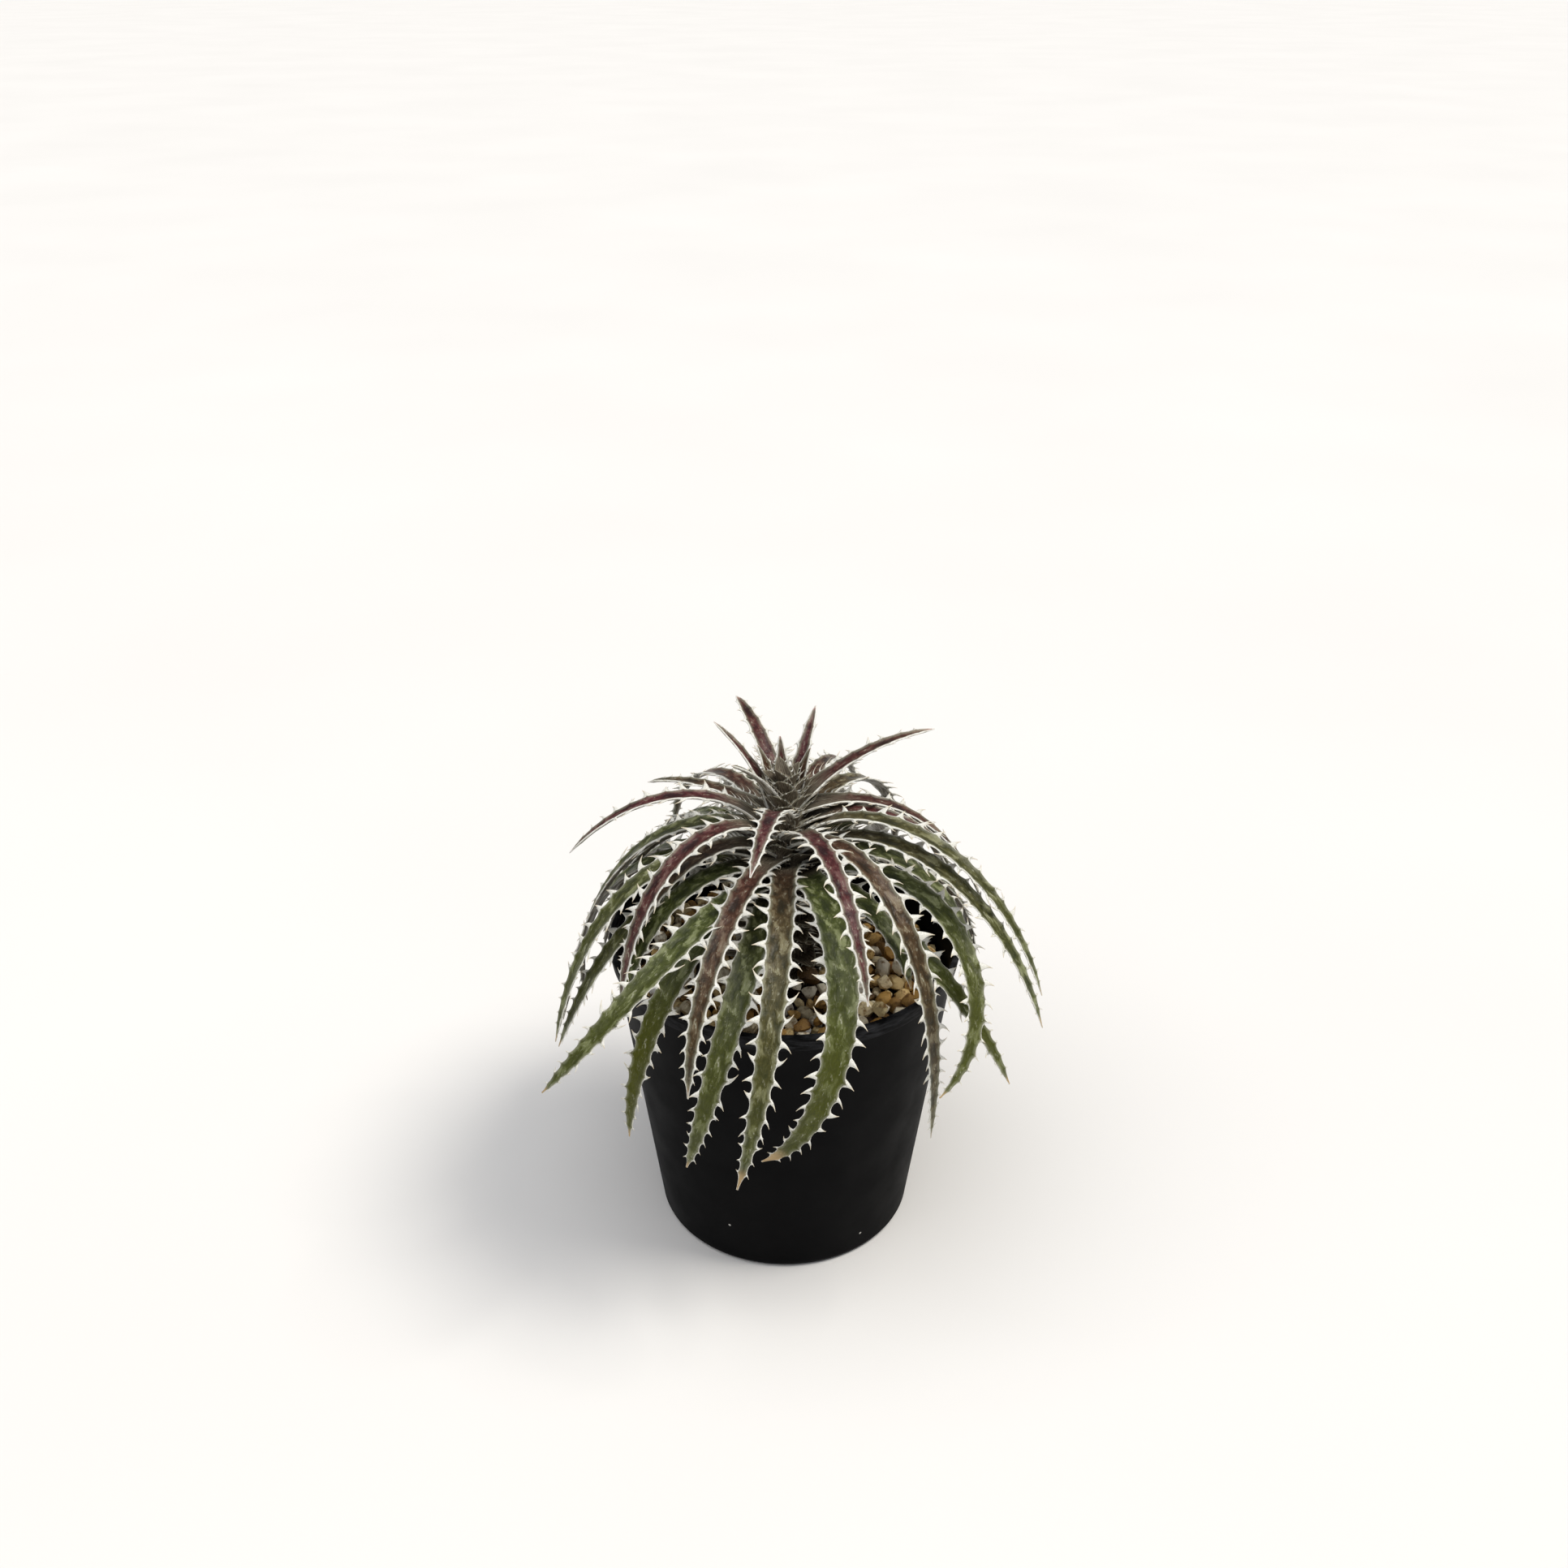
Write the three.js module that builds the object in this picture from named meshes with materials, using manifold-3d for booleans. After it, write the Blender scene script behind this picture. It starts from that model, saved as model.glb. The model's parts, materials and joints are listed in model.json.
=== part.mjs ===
// A potted dyckia: a rosette of arching, hook-spined leaves on a short stem, planted in a
// plain plastic nursery pot under a dressing of coarse gravel. Millimetres, +Z up, with the
// origin at the centre of the pot's base and the plant's front towards -Y.
import * as THREE from "three";
import { mergeVertices } from "three/addons/utils/BufferGeometryUtils.js";
import Module from "manifold-3d";

// Driving dimensions.
const POT_HEIGHT = 113;
const POT_RIM_RADIUS = 65;
const POT_BASE_RADIUS = 47;
const POT_WALL = 1.9;
const POT_FLOOR = 2.4;
const POT_SIDES = 40;
const RIM_WIDTH = 2.3;
const RIM_EDGE = 0.6;
const RIM_BAND_HEIGHT = 6;
const RIM_BAND_STEP = 1.1;
const BASE_CORNER = 3;
const DRAIN_HOLES = 8;
const DRAIN_RADIUS = 4;
const DRAIN_CIRCLE = 30;

// The fillings. Pieces that touch keep the seat gap between them.
const SEAT_GAP = 0.3;
const MIX_TOP = 94;
const GRAVEL_BED_TOP = 98.5;
const GRAVEL_TOP = 106;
const STONE_COUNT = 100;
const STONE_SIZE = 4.7;
const FILLING_SIDES = 36;

// The stem, as radius and height from its foot in the mix to its top in the leaves' heart.
const STEM_BOTTOM = 84;
const STEM_SIDES = 20;
const STEM_PROFILE = [
  [9, STEM_BOTTOM],
  [11, 100],
  [12, 112],
  [12.2, 122],
  [11.4, 132],
  [9.6, 146],
  [7.2, 160],
  [4.4, 172],
  [1.6, 177],
];

// The blades: thickness of the edge and of the keel at the foot, and the least thickness. A
// leaf that rises more steeply than STEEP_RISE degrees stands beside the stem, not against it.
const STEEP_RISE = 70;
const LEAF_EDGE = 0.9;
const LEAF_KEEL = 2;
const THINNEST = 0.6;
const EDGE_LIFT = 0.16;
const TAPER_POWER = 2.6;
const TAPER_ROUNDNESS = 0.75;
const BARE_FOOT = 13;
const COURSE_STEPS = 24;
const SEATING_STEPS = 4;

// The spines: length on a full-grown leaf and the leaf length that has it, distance apart at
// the foot and at the tip, share that points back towards the foot, and the room that each
// keeps to its neighbours.
const SPINE_LENGTH = 4.1;
const GROWN_LENGTH = 80;
const SPINE_PITCH = 7;
const SPINE_TIP_PITCH = 3.6;
const CROWDING_POWER = 3;
const BACKWARD_SHARE = 0.2;
const SPINE_CLEARANCE = 1.1;
const SPINE_SPACING = 1.6;

const YOUNG = new THREE.Color("#6b3038");
const OLD = new THREE.Color("#5f6b3a");

// The leaves, by where they spring from the stem. Each row holds azimuth, foot height, rise,
// droop, early share of the droop, sway, length, width and age. Angles are in degrees: the
// azimuth is 0 towards +X and 270 towards the front, rise is the slope at the foot, droop is
// how far the leaf bends down in all, sway how far it bends sideways. Age runs from 0 for a
// maroon heart leaf to 1 for an old green one.
const LEAVES = [
  // The heart: short upright leaves.
  [116, 168, 65, 70, 0.25, -10, 50, 5.5, 0],
  [162, 167, 75, 40, 0.25, -5, 35, 4, 0.05],
  [216, 170, 65, 35, 0.25, 5, 27, 4, 0.3],
  [62, 165, 80, 45, 0.5, 10, 36, 4.5, 0],
  [16, 167, 45, 45, 0, 5, 57, 6, 0],
  [100, 171, 84, 20, 0.25, 0, 18, 2.6, 0],
  [40, 169, 80, 20, 0.25, 0, 17, 3, 0.2],
  [68, 158, 35, 90, 0.25, 0, 80, 5.5, 0.2],
  [150, 171, 80, 20, 0.25, 0, 17, 3, 0.2],
  // The young maroon leaves above the middle of the rosette.
  [146, 160, 20, 50, 0.25, -20, 65, 5, 0.25],
  [185, 158, 56, 106, 0.5, -9, 82, 6, 0],
  [218, 156, 55, 135, 0.75, 5, 100, 6.8, 0.05],
  [214, 150, 45, 120, 0.5, 0, 82, 7.2, 0.4],
  [262, 162, 55, 75, 0.25, -5, 68, 6, 0],
  [248, 148.8, 22, 105, 0, 0, 105, 7.2, 0.1],
  [288, 157, 45, 115, 0, 0, 95, 6, 0],
  [309, 153, 50, 145, 1, 5, 145, 7, 0.3],
  [354, 160, 35, 90, 0.5, 5, 72, 6, 0.05],
  [332, 156.5, 50, 120, 0.5, 0, 120, 6, 0.55],
  [328, 150, 50, 120, 0.5, 0, 123, 7, 0.6],
  [28, 157, 25, 95, 0.75, 0, 95, 6.5, 0.2],
  [6, 164, 25, 95, 0.5, 0, 90, 6, 0.15],
  [159, 150, 25, 105, 0.75, 0, 105, 7, 0.5],
  // The older green leaves, from the front round by the right.
  [258, 134.5, 25, 120, 0, -25, 120, 9.6, 0.9],
  [269, 146, 30, 115, 0.25, -20, 135, 8.2, 0.75],
  [289, 142.5, 35, 147, 0, -61, 141, 10.8, 1],
  [241, 139, 26, 88, 0, -47, 125, 9.5, 0.9],
  [235, 131, 35, 124, 0.25, -5, 114, 9.5, 1],
  [330, 140, 40, 120, 0.25, -80, 125, 8.5, 0.95],
  [347, 146.5, 34, 113, 0.4, 0, 86, 8, 0.9],
  [314, 131, 35, 105, 0.25, 20, 110, 8, 1],
  [172, 154.5, 25, 104, 1, 14, 128, 8, 0.85],
  [204, 146, 45, 122, 0.75, 0, 117, 8, 0.8],
  [209, 137.5, 40, 112, 0.75, -15, 108, 8, 0.7],
  [216, 142, 37, 121, 0.25, 5, 86, 8, 0.95],
  [310, 136.5, 42, 111, -0.15, -3, 68, 8, 0.95],
  // The leaves that arch over the back.
  [94, 154, 44, 114, 0.25, 0, 95, 6.5, 0.15],
  [126, 156, 37, 112, 0.25, -2, 90, 6.5, 0.2],
  [53, 153.5, 38, 125, 0.25, 5, 100, 7, 0.4],
  [106, 147, 35, 125, 0.25, -5, 130, 8, 0.8],
  [148, 145, 28, 124, 0.5, 0, 125, 8, 0.85],
  [74, 144, 35, 125, 0.25, 5, 125, 8.5, 0.8],
  [39, 141.5, 35, 121, 0.25, -5, 106, 8.5, 0.9],
  [128, 140, 28, 125, 0.25, 5, 130, 8.5, 0.95],
  [98, 137, 30, 125, 0.25, 0, 125, 8.5, 1],
  [62, 135, 30, 125, 0.25, -5, 130, 8.5, 1],
  [167, 137, 29, 129, 0.25, 5, 115, 8.5, 0.95],
  [9, 138.5, 31, 133, 0.25, 0, 105, 8.5, 1],
  [142, 131, 25, 120, 0.25, -5, 130, 9, 1],
  [33, 130, 25, 120, 0.25, 5, 125, 9, 1],
].map(([azimuth, foot, rise, droop, early, sway, length, width, age]) => {
  return { azimuth, foot, rise, droop, early, sway, length, width, age };
});

const wasm = await Module();
wasm.setup();

// A repeatable stream of numbers from 0 to 1.
function randomStream(seed) {
  let state = seed >>> 0;
  return () => {
    state = (state + 0x6d2b79f5) >>> 0;
    let mixed = Math.imul(state ^ (state >>> 15), state | 1);
    mixed ^= mixed + Math.imul(mixed ^ (mixed >>> 7), mixed | 61);
    return ((mixed ^ (mixed >>> 14)) >>> 0) / 4294967296;
  };
}

function toSolid(geometry) {
  const bare = geometry.index ? geometry.toNonIndexed() : geometry.clone();
  bare.deleteAttribute("normal");
  bare.deleteAttribute("uv");
  const merged = mergeVertices(bare, 1e-4);
  return new wasm.Manifold(
    new wasm.Mesh({
      numProp: 3,
      vertProperties: merged.attributes.position.array,
      triVerts: new Uint32Array(merged.index.array),
    }),
  );
}

function toGeometry(solid) {
  const mesh = solid.getMesh();
  return indexedGeometry(Array.from(mesh.vertProperties), Array.from(mesh.triVerts));
}

function indexedGeometry(positions, triangles) {
  const geometry = new THREE.BufferGeometry();
  geometry.setAttribute("position", new THREE.Float32BufferAttribute(positions, 3));
  geometry.setIndex(triangles);
  geometry.computeVertexNormals();
  return geometry;
}

// A solid of revolution about +Z through points given as [radius, height].
function lathe(profile, segments) {
  const points = profile.map(([radius, height]) => new THREE.Vector2(radius, height));
  return new THREE.LatheGeometry(points, segments).rotateX(Math.PI / 2);
}

function named(name, geometry, color, roughness) {
  const material = new THREE.MeshStandardMaterial({ color, roughness, metalness: 0 });
  const mesh = new THREE.Mesh(geometry, material);
  mesh.name = name;
  return mesh;
}

const clamp = THREE.MathUtils.clamp;
const lerp = THREE.MathUtils.lerp;
const radians = THREE.MathUtils.degToRad;

// Radius of the pot's outer wall at a height.
function potRadius(height) {
  return lerp(POT_BASE_RADIUS, POT_RIM_RADIUS - RIM_BAND_STEP, height / POT_HEIGHT);
}

function pot() {
  const bandBottom = POT_HEIGHT - RIM_BAND_HEIGHT;
  const innerRim = POT_RIM_RADIUS - RIM_WIDTH;
  const shell = toSolid(
    lathe(
      [
        [0, 0],
        [POT_BASE_RADIUS - BASE_CORNER, 0],
        [POT_BASE_RADIUS - BASE_CORNER * 0.3, BASE_CORNER * 0.35],
        [potRadius(BASE_CORNER), BASE_CORNER],
        [potRadius(bandBottom), bandBottom],
        [potRadius(bandBottom) + RIM_BAND_STEP, bandBottom + RIM_EDGE],
        [POT_RIM_RADIUS, POT_HEIGHT - RIM_EDGE],
        [POT_RIM_RADIUS - RIM_EDGE, POT_HEIGHT],
        [innerRim + RIM_EDGE, POT_HEIGHT],
        [innerRim, POT_HEIGHT - RIM_EDGE],
        [potRadius(bandBottom) - POT_WALL, bandBottom],
        [potRadius(POT_FLOOR) - POT_WALL, POT_FLOOR],
        [0, POT_FLOOR],
      ],
      POT_SIDES,
    ),
  );
  const drained = drainHoles().reduce((rest, hole) => rest.subtract(toSolid(hole)), shell);
  return named("pot", toGeometry(drained), "#121314", 0.62);
}

// The ring of round holes through the pot's floor.
function drainHoles() {
  return Array.from({ length: DRAIN_HOLES }, (_, i) => {
    const angle = (i / DRAIN_HOLES) * 2 * Math.PI;
    const hole = new THREE.CylinderGeometry(DRAIN_RADIUS, DRAIN_RADIUS, 4 * POT_FLOOR, 10);
    hole.rotateX(Math.PI / 2);
    return hole.translate(DRAIN_CIRCLE * Math.cos(angle), DRAIN_CIRCLE * Math.sin(angle), 0);
  });
}

// Radius that a filling may reach at a height: up to the pot's inside, less the seat gap.
function fillRadius(height) {
  return potRadius(height) - POT_WALL - SEAT_GAP;
}

// The potting mix fills the pot from its floor, round a plain hole for the stem.
function pottingMix() {
  const floor = POT_FLOOR + SEAT_GAP;
  const holeFloor = STEM_BOTTOM - SEAT_GAP;
  const hole = stemRadius(MIX_TOP) + SEAT_GAP;
  const geometry = lathe(
    [
      [0, floor],
      [fillRadius(floor), floor],
      [fillRadius(MIX_TOP), MIX_TOP],
      [hole, MIX_TOP],
      [hole, holeFloor],
      [0, holeFloor],
    ],
    FILLING_SIDES,
  );
  return named("potting_mix", geometry, "#3a2a1c", 0.95);
}

// One rough stone: a low ball squashed and dented by its own draws.
function stone(size, random) {
  const ball = new THREE.IcosahedronGeometry(size, 0);
  ball.deleteAttribute("normal");
  ball.deleteAttribute("uv");
  const geometry = mergeVertices(ball);
  const corner = geometry.attributes.position;
  for (let i = 0; i < corner.count; i++) {
    const dent = 0.88 + 0.2 * random();
    corner.setXYZ(i, corner.getX(i) * dent, corner.getY(i) * dent, corner.getZ(i) * dent);
  }
  geometry.scale(0.9 + 0.25 * random(), 0.85 + 0.2 * random(), 0.65 + 0.3 * random());
  return geometry.rotateZ(random() * 2 * Math.PI);
}

// The gravel: a sunflower spread of stones, half sunk in a bed that holds them together.
function gravel() {
  const random = randomStream(7);
  const inner = stemRadius(GRAVEL_BED_TOP) + 0.75 * STONE_SIZE;
  const outer = fillRadius(GRAVEL_BED_TOP) - 0.9 * STONE_SIZE;
  const solids = [toSolid(gravelBed())];
  for (let i = 0; i < STONE_COUNT; i++) {
    const share = (i + 0.5) / STONE_COUNT;
    const radius = Math.sqrt(lerp(inner * inner, outer * outer, share));
    const angle = i * Math.PI * (3 - Math.sqrt(5));
    const size = STONE_SIZE * (0.8 + 0.4 * random());
    const height = GRAVEL_BED_TOP + size * (0.12 + 0.25 * random());
    const lump = stone(size, random);
    lump.translate(radius * Math.cos(angle), radius * Math.sin(angle), height);
    solids.push(toSolid(lump));
  }
  const heap = wasm.Manifold.union(solids).intersect(toSolid(gravelRoom()));
  return named("gravel", toGeometry(largestBody(heap)), "#a8834a", 0.9);
}

// A disc from wall to stem that the stones are set in.
function gravelBed() {
  const bottom = MIX_TOP + SEAT_GAP;
  const hole = stemRadius(GRAVEL_BED_TOP);
  return lathe(
    [
      [hole, bottom],
      [fillRadius(bottom), bottom],
      [fillRadius(GRAVEL_BED_TOP), GRAVEL_BED_TOP],
      [hole, GRAVEL_BED_TOP],
      [hole, bottom],
    ],
    FILLING_SIDES,
  );
}

// The ring of room between the stem and the pot's wall that no stone leaves.
function gravelRoom() {
  const bottom = MIX_TOP + SEAT_GAP;
  const hole = stemRadius(GRAVEL_TOP) + SEAT_GAP;
  return lathe(
    [
      [hole, bottom],
      [fillRadius(bottom), bottom],
      [fillRadius(POT_HEIGHT), POT_HEIGHT],
      [hole, POT_HEIGHT],
      [hole, bottom],
    ],
    FILLING_SIDES,
  );
}

// Without the loose scraps that a cut leaves.
function largestBody(solid) {
  return solid.decompose().reduce((a, b) => (b.volume() > a.volume() ? b : a));
}

// Radius of the stem at a height, from its profile.
function stemRadius(height) {
  const above = STEM_PROFILE.findIndex(([, z]) => z >= height);
  if (above === 0) return STEM_PROFILE[0][0];
  if (above < 0) return STEM_PROFILE[STEM_PROFILE.length - 1][0];
  const [lowRadius, low] = STEM_PROFILE[above - 1];
  const [highRadius, high] = STEM_PROFILE[above];
  return lerp(lowRadius, highRadius, (height - low) / (high - low));
}

function stem() {
  const last = STEM_PROFILE[STEM_PROFILE.length - 1];
  const profile = [[0, STEM_BOTTOM], ...STEM_PROFILE, [0, last[1] + 1]];
  return named("stem", lathe(profile, STEM_SIDES), "#6a6258", 0.8);
}

// The course of a leaf: points and frames from foot to tip, in COURSE_STEPS equal steps. At
// each step the heading bends down about the frame's side and sways about its normal.
function leafCourse(leaf) {
  const azimuth = radians(leaf.azimuth);
  const rise = radians(leaf.rise);
  const out = new THREE.Vector3(Math.cos(azimuth), Math.sin(azimuth), 0);
  const up = new THREE.Vector3(0, 0, 1);
  let along = out.clone().multiplyScalar(Math.cos(rise)).addScaledVector(up, Math.sin(rise));
  let side = new THREE.Vector3().crossVectors(up, out);
  let normal = new THREE.Vector3().crossVectors(along, side);
  const innerEdge = EDGE_LIFT * halfWidth(leaf, 0) + 0.5 * LEAF_EDGE;
  const standOff = isSteep(leaf) ? innerEdge * Math.sin(rise) : 0;
  const reach = stemRadius(leaf.foot) + SEAT_GAP + standOff;
  let point = out.clone().multiplyScalar(reach).setZ(leaf.foot);
  const frames = [{ point, along, side, normal }];
  for (let i = 0; i < COURSE_STEPS; i++) {
    const t = (i + 0.5) / COURSE_STEPS;
    const down = (radians(leaf.droop) * (1 + leaf.early * (1 - 2 * t))) / COURSE_STEPS;
    const turn = (radians(leaf.sway) * 2 * t) / COURSE_STEPS;
    along = along.clone().applyAxisAngle(side, down);
    normal = normal.clone().applyAxisAngle(side, down);
    along = along.clone().applyAxisAngle(normal, turn);
    side = side.clone().applyAxisAngle(normal, turn);
    point = point.clone().addScaledVector(along, leaf.length / COURSE_STEPS);
    frames.push({ point, along, side, normal });
  }
  return frames;
}

function isSteep(leaf) {
  return leaf.rise > STEEP_RISE;
}

// The frame at a share t of the course.
function frameAt(course, t) {
  const place = clamp(t, 0, 1) * COURSE_STEPS;
  const before = Math.min(Math.floor(place), COURSE_STEPS - 1);
  const share = place - before;
  const a = course[before];
  const b = course[before + 1];
  return {
    point: a.point.clone().lerp(b.point, share),
    along: a.along.clone().lerp(b.along, share).normalize(),
    side: a.side.clone().lerp(b.side, share).normalize(),
    normal: a.normal.clone().lerp(b.normal, share).normalize(),
  };
}

// Half the blade's width at a share t of its length: a little narrower at the foot, nearly
// even up to the middle, and drawn out to the tip.
function halfWidth(leaf, t) {
  const neck = lerp(0.8, 1, clamp(t / 0.12, 0, 1));
  const taper = Math.pow(1 - Math.pow(Math.min(t, 1), TAPER_POWER), TAPER_ROUNDNESS);
  return Math.max(0.5 * THINNEST, 0.5 * leaf.width * neck * taper);
}

// Share of its thickness at the foot that the blade keeps at a share t of its length.
function thicknessShare(t) {
  return 1 - 0.62 * t;
}

// Where the blade's cross sections stand, as shares of its length: two on the bare foot, then
// one between each two spines, which stand closer together towards the tip.
function stations(leaf) {
  const bareFoot = Math.min(BARE_FOOT, 0.25 * leaf.length);
  const places = [0, (0.5 * bareFoot) / leaf.length];
  let at = bareFoot;
  while (at < leaf.length - 0.75 * SPINE_TIP_PITCH) {
    places.push(at / leaf.length);
    at += lerp(SPINE_PITCH, SPINE_TIP_PITCH, Math.pow(at / leaf.length, CROWDING_POWER));
  }
  return places;
}

// A ring of six points round the blade: two on each edge, one in the channel on top and one on
// the keel below.
function bladeSection(leaf, course, t) {
  const { point, side, normal } = frameAt(course, t);
  const half = halfWidth(leaf, t);
  const thick = thicknessShare(t);
  const edge = Math.max(LEAF_EDGE * thick, THINNEST) * 0.5;
  const lift = EDGE_LIFT * half;
  const keel = LEAF_KEEL * thick * (0.55 + 0.05 * leaf.width);
  const at = (across, height) =>
    point.clone().addScaledVector(side, across).addScaledVector(normal, height);
  return [
    at(half, lift - edge),
    at(half, lift + edge),
    at(0, 0.15),
    at(-half, lift + edge),
    at(-half, lift - edge),
    at(0, -keel),
  ];
}

// The foot section meets the stem: each corner slides along the leaf's heading until it is
// at the seat gap from the stem, in a few steps because the stem's radius changes with height.
function meetStem(ring, along) {
  const outward = Math.hypot(along.x, along.y);
  return ring.map((corner) => {
    const seated = corner.clone();
    for (let step = 0; step < SEATING_STEPS; step++) {
      const wanted = stemRadius(seated.z) + SEAT_GAP;
      const missing = wanted - Math.hypot(seated.x, seated.y);
      seated.addScaledVector(along, missing / outward);
    }
    return seated;
  });
}

// The spines that a leaf could carry: one on each edge between two sections.
function spineSites(leaf, course, places, index) {
  const random = randomStream(100 + index);
  const size = clamp(leaf.length / GROWN_LENGTH, 0.5, 1);
  const full = SPINE_LENGTH * size * (0.8 + 0.02 * leaf.width);
  const sites = [];
  for (let i = 2; i < places.length - 1; i++) {
    const t = lerp(places[i], places[i + 1], 0.62 + 0.2 * random());
    const { point, along, side, normal } = frameAt(course, t);
    const grown = clamp(0.45 + 3 * t, 0, 1) * clamp(2.6 * (1.12 - t), 0.3, 1);
    for (const hand of [1, -1]) {
      const half = halfWidth(leaf, t);
      const length = full * grown * (0.85 + 0.3 * random());
      const hook = random() < BACKWARD_SHARE ? -0.35 : 0.45;
      const base = point
        .clone()
        .addScaledVector(side, hand * half)
        .addScaledVector(normal, EDGE_LIFT * half);
      const tip = base
        .clone()
        .addScaledVector(side, hand * length)
        .addScaledVector(along, length * hook)
        .addScaledVector(normal, length * (0.1 + 0.25 * random()));
      sites.push({ leaf: index, segment: i, hand, base, tip });
    }
  }
  return sites;
}

// Whether a point lies inside or just beside a blade, taken as a box round each frame.
function touchesBlade(point, { leaf, course }) {
  const step = leaf.length / COURSE_STEPS;
  const middle = -0.25 * LEAF_KEEL;
  return course.some((frame, i) => {
    const offset = point.clone().sub(frame.point);
    const half = halfWidth(leaf, i / COURSE_STEPS);
    return (
      Math.abs(offset.dot(frame.along)) < step * 0.5 + 1 &&
      Math.abs(offset.dot(frame.side)) < half + SPINE_CLEARANCE &&
      Math.abs(offset.dot(frame.normal) - middle) < LEAF_KEEL + SPINE_CLEARANCE
    );
  });
}

// The shortest distance between two short straight spines, sampled along both.
function spineDistance(a, b) {
  let nearest = Infinity;
  for (const s of [0, 0.33, 0.66, 1]) {
    const from = a.base.clone().lerp(a.tip, s);
    for (const u of [0, 0.33, 0.66, 1]) {
      nearest = Math.min(nearest, from.distanceTo(b.base.clone().lerp(b.tip, u)));
    }
  }
  return nearest;
}

// The spines that stand clear of every other leaf, of its spines, of the pot and of the
// gravel. The others never grow.
function clearSpines(blades) {
  const kept = [];
  for (const blade of blades) {
    for (const site of blade.sites) {
      const probes = [0.4, 0.75, 1].map((s) => site.base.clone().lerp(site.tip, s));
      const others = blades.filter((other) => other !== blade);
      const blocked = probes.some(
        (probe) => inPotOrGravel(probe) || others.some((other) => touchesBlade(probe, other)),
      );
      if (blocked) continue;
      const crossed = kept.some(
        (other) =>
          other.leaf !== site.leaf &&
          other.tip.distanceTo(site.tip) < 3 * SPINE_LENGTH &&
          spineDistance(other, site) < SPINE_SPACING,
      );
      if (!crossed) kept.push(site);
    }
  }
  return kept;
}

function inPotOrGravel(point) {
  const reach = Math.hypot(point.x, point.y);
  const wall = potRadius(point.z) - 0.5 * POT_WALL;
  const inWall = point.z < POT_HEIGHT + 1 && Math.abs(reach - wall) < POT_WALL + SPINE_CLEARANCE;
  const inGravel = reach < POT_RIM_RADIUS && point.z < GRAVEL_TOP;
  return inWall || inGravel;
}

// The blade as one closed mesh. A spine is a pyramid raised on the edge between two sections.
function bladeGeometry(leaf, course, places, spines) {
  const positions = [];
  const triangles = [];
  const add = (point) => positions.push(point.x, point.y, point.z) / 3 - 1;
  const rings = places.map((t, i) => {
    const ring = bladeSection(leaf, course, t);
    const seated = i === 0 && !isSteep(leaf) ? meetStem(ring, course[0].along) : ring;
    return seated.map(add);
  });
  const corners = rings[0].length;
  for (let i = 0; i + 1 < rings.length; i++) {
    for (let k = 0; k < corners; k++) {
      const next = (k + 1) % corners;
      const quad = [rings[i][k], rings[i + 1][k], rings[i + 1][next], rings[i][next]];
      const hand = k === 0 ? 1 : k === 3 ? -1 : 0;
      const spine = hand && spines.find((site) => site.segment === i && site.hand === hand);
      if (spine) raise(triangles, quad, add(spine.tip));
      else triangles.push(quad[0], quad[2], quad[1], quad[0], quad[3], quad[2]);
    }
  }
  const tip = add(frameAt(course, 1).point);
  raise(triangles, [...rings[rings.length - 1]].reverse(), tip);
  const [a, b, c, d, e, f] = rings[0];
  triangles.push(a, c, b, a, f, c, f, e, c, e, d, c);
  return indexedGeometry(positions, triangles);
}

// Joins the corners of a face to one point above it.
function raise(triangles, corners, peak) {
  corners.forEach((corner, i) => {
    triangles.push(corners[(i + 1) % corners.length], corner, peak);
  });
}

function blades() {
  return LEAVES.map((leaf, index) => {
    const course = leafCourse(leaf);
    const places = stations(leaf);
    return { leaf, course, places, sites: spineSites(leaf, course, places, index) };
  });
}

function leafMeshes() {
  const all = blades();
  const kept = clearSpines(all);
  return all.map(({ leaf, course, places }, index) => {
    const spines = kept.filter((site) => site.leaf === index);
    const name = "leaf_" + String(index + 1).padStart(2, "0");
    const color = YOUNG.clone().lerp(OLD, leaf.age);
    return named(name, bladeGeometry(leaf, course, places, spines), color, 0.55);
  });
}

const dyckia = new THREE.Group();
dyckia.add(pot(), pottingMix(), gravel(), stem(), ...leafMeshes());
export default dyckia;
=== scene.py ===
"""A potted dyckia: hook-spined leaves that arch from a short stem in a black nursery pot.

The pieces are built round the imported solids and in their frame: +Z up, the origin at the
centre of the pot's base, the front towards -Y. Lengths here are millimetres, and MM turns
them into Blender's metres; only bpy properties and Blender's own sockets hold metres.
"""

import json
import math
from collections import namedtuple

import bmesh
import bpy
import numpy as np
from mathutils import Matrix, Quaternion, Vector

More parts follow.
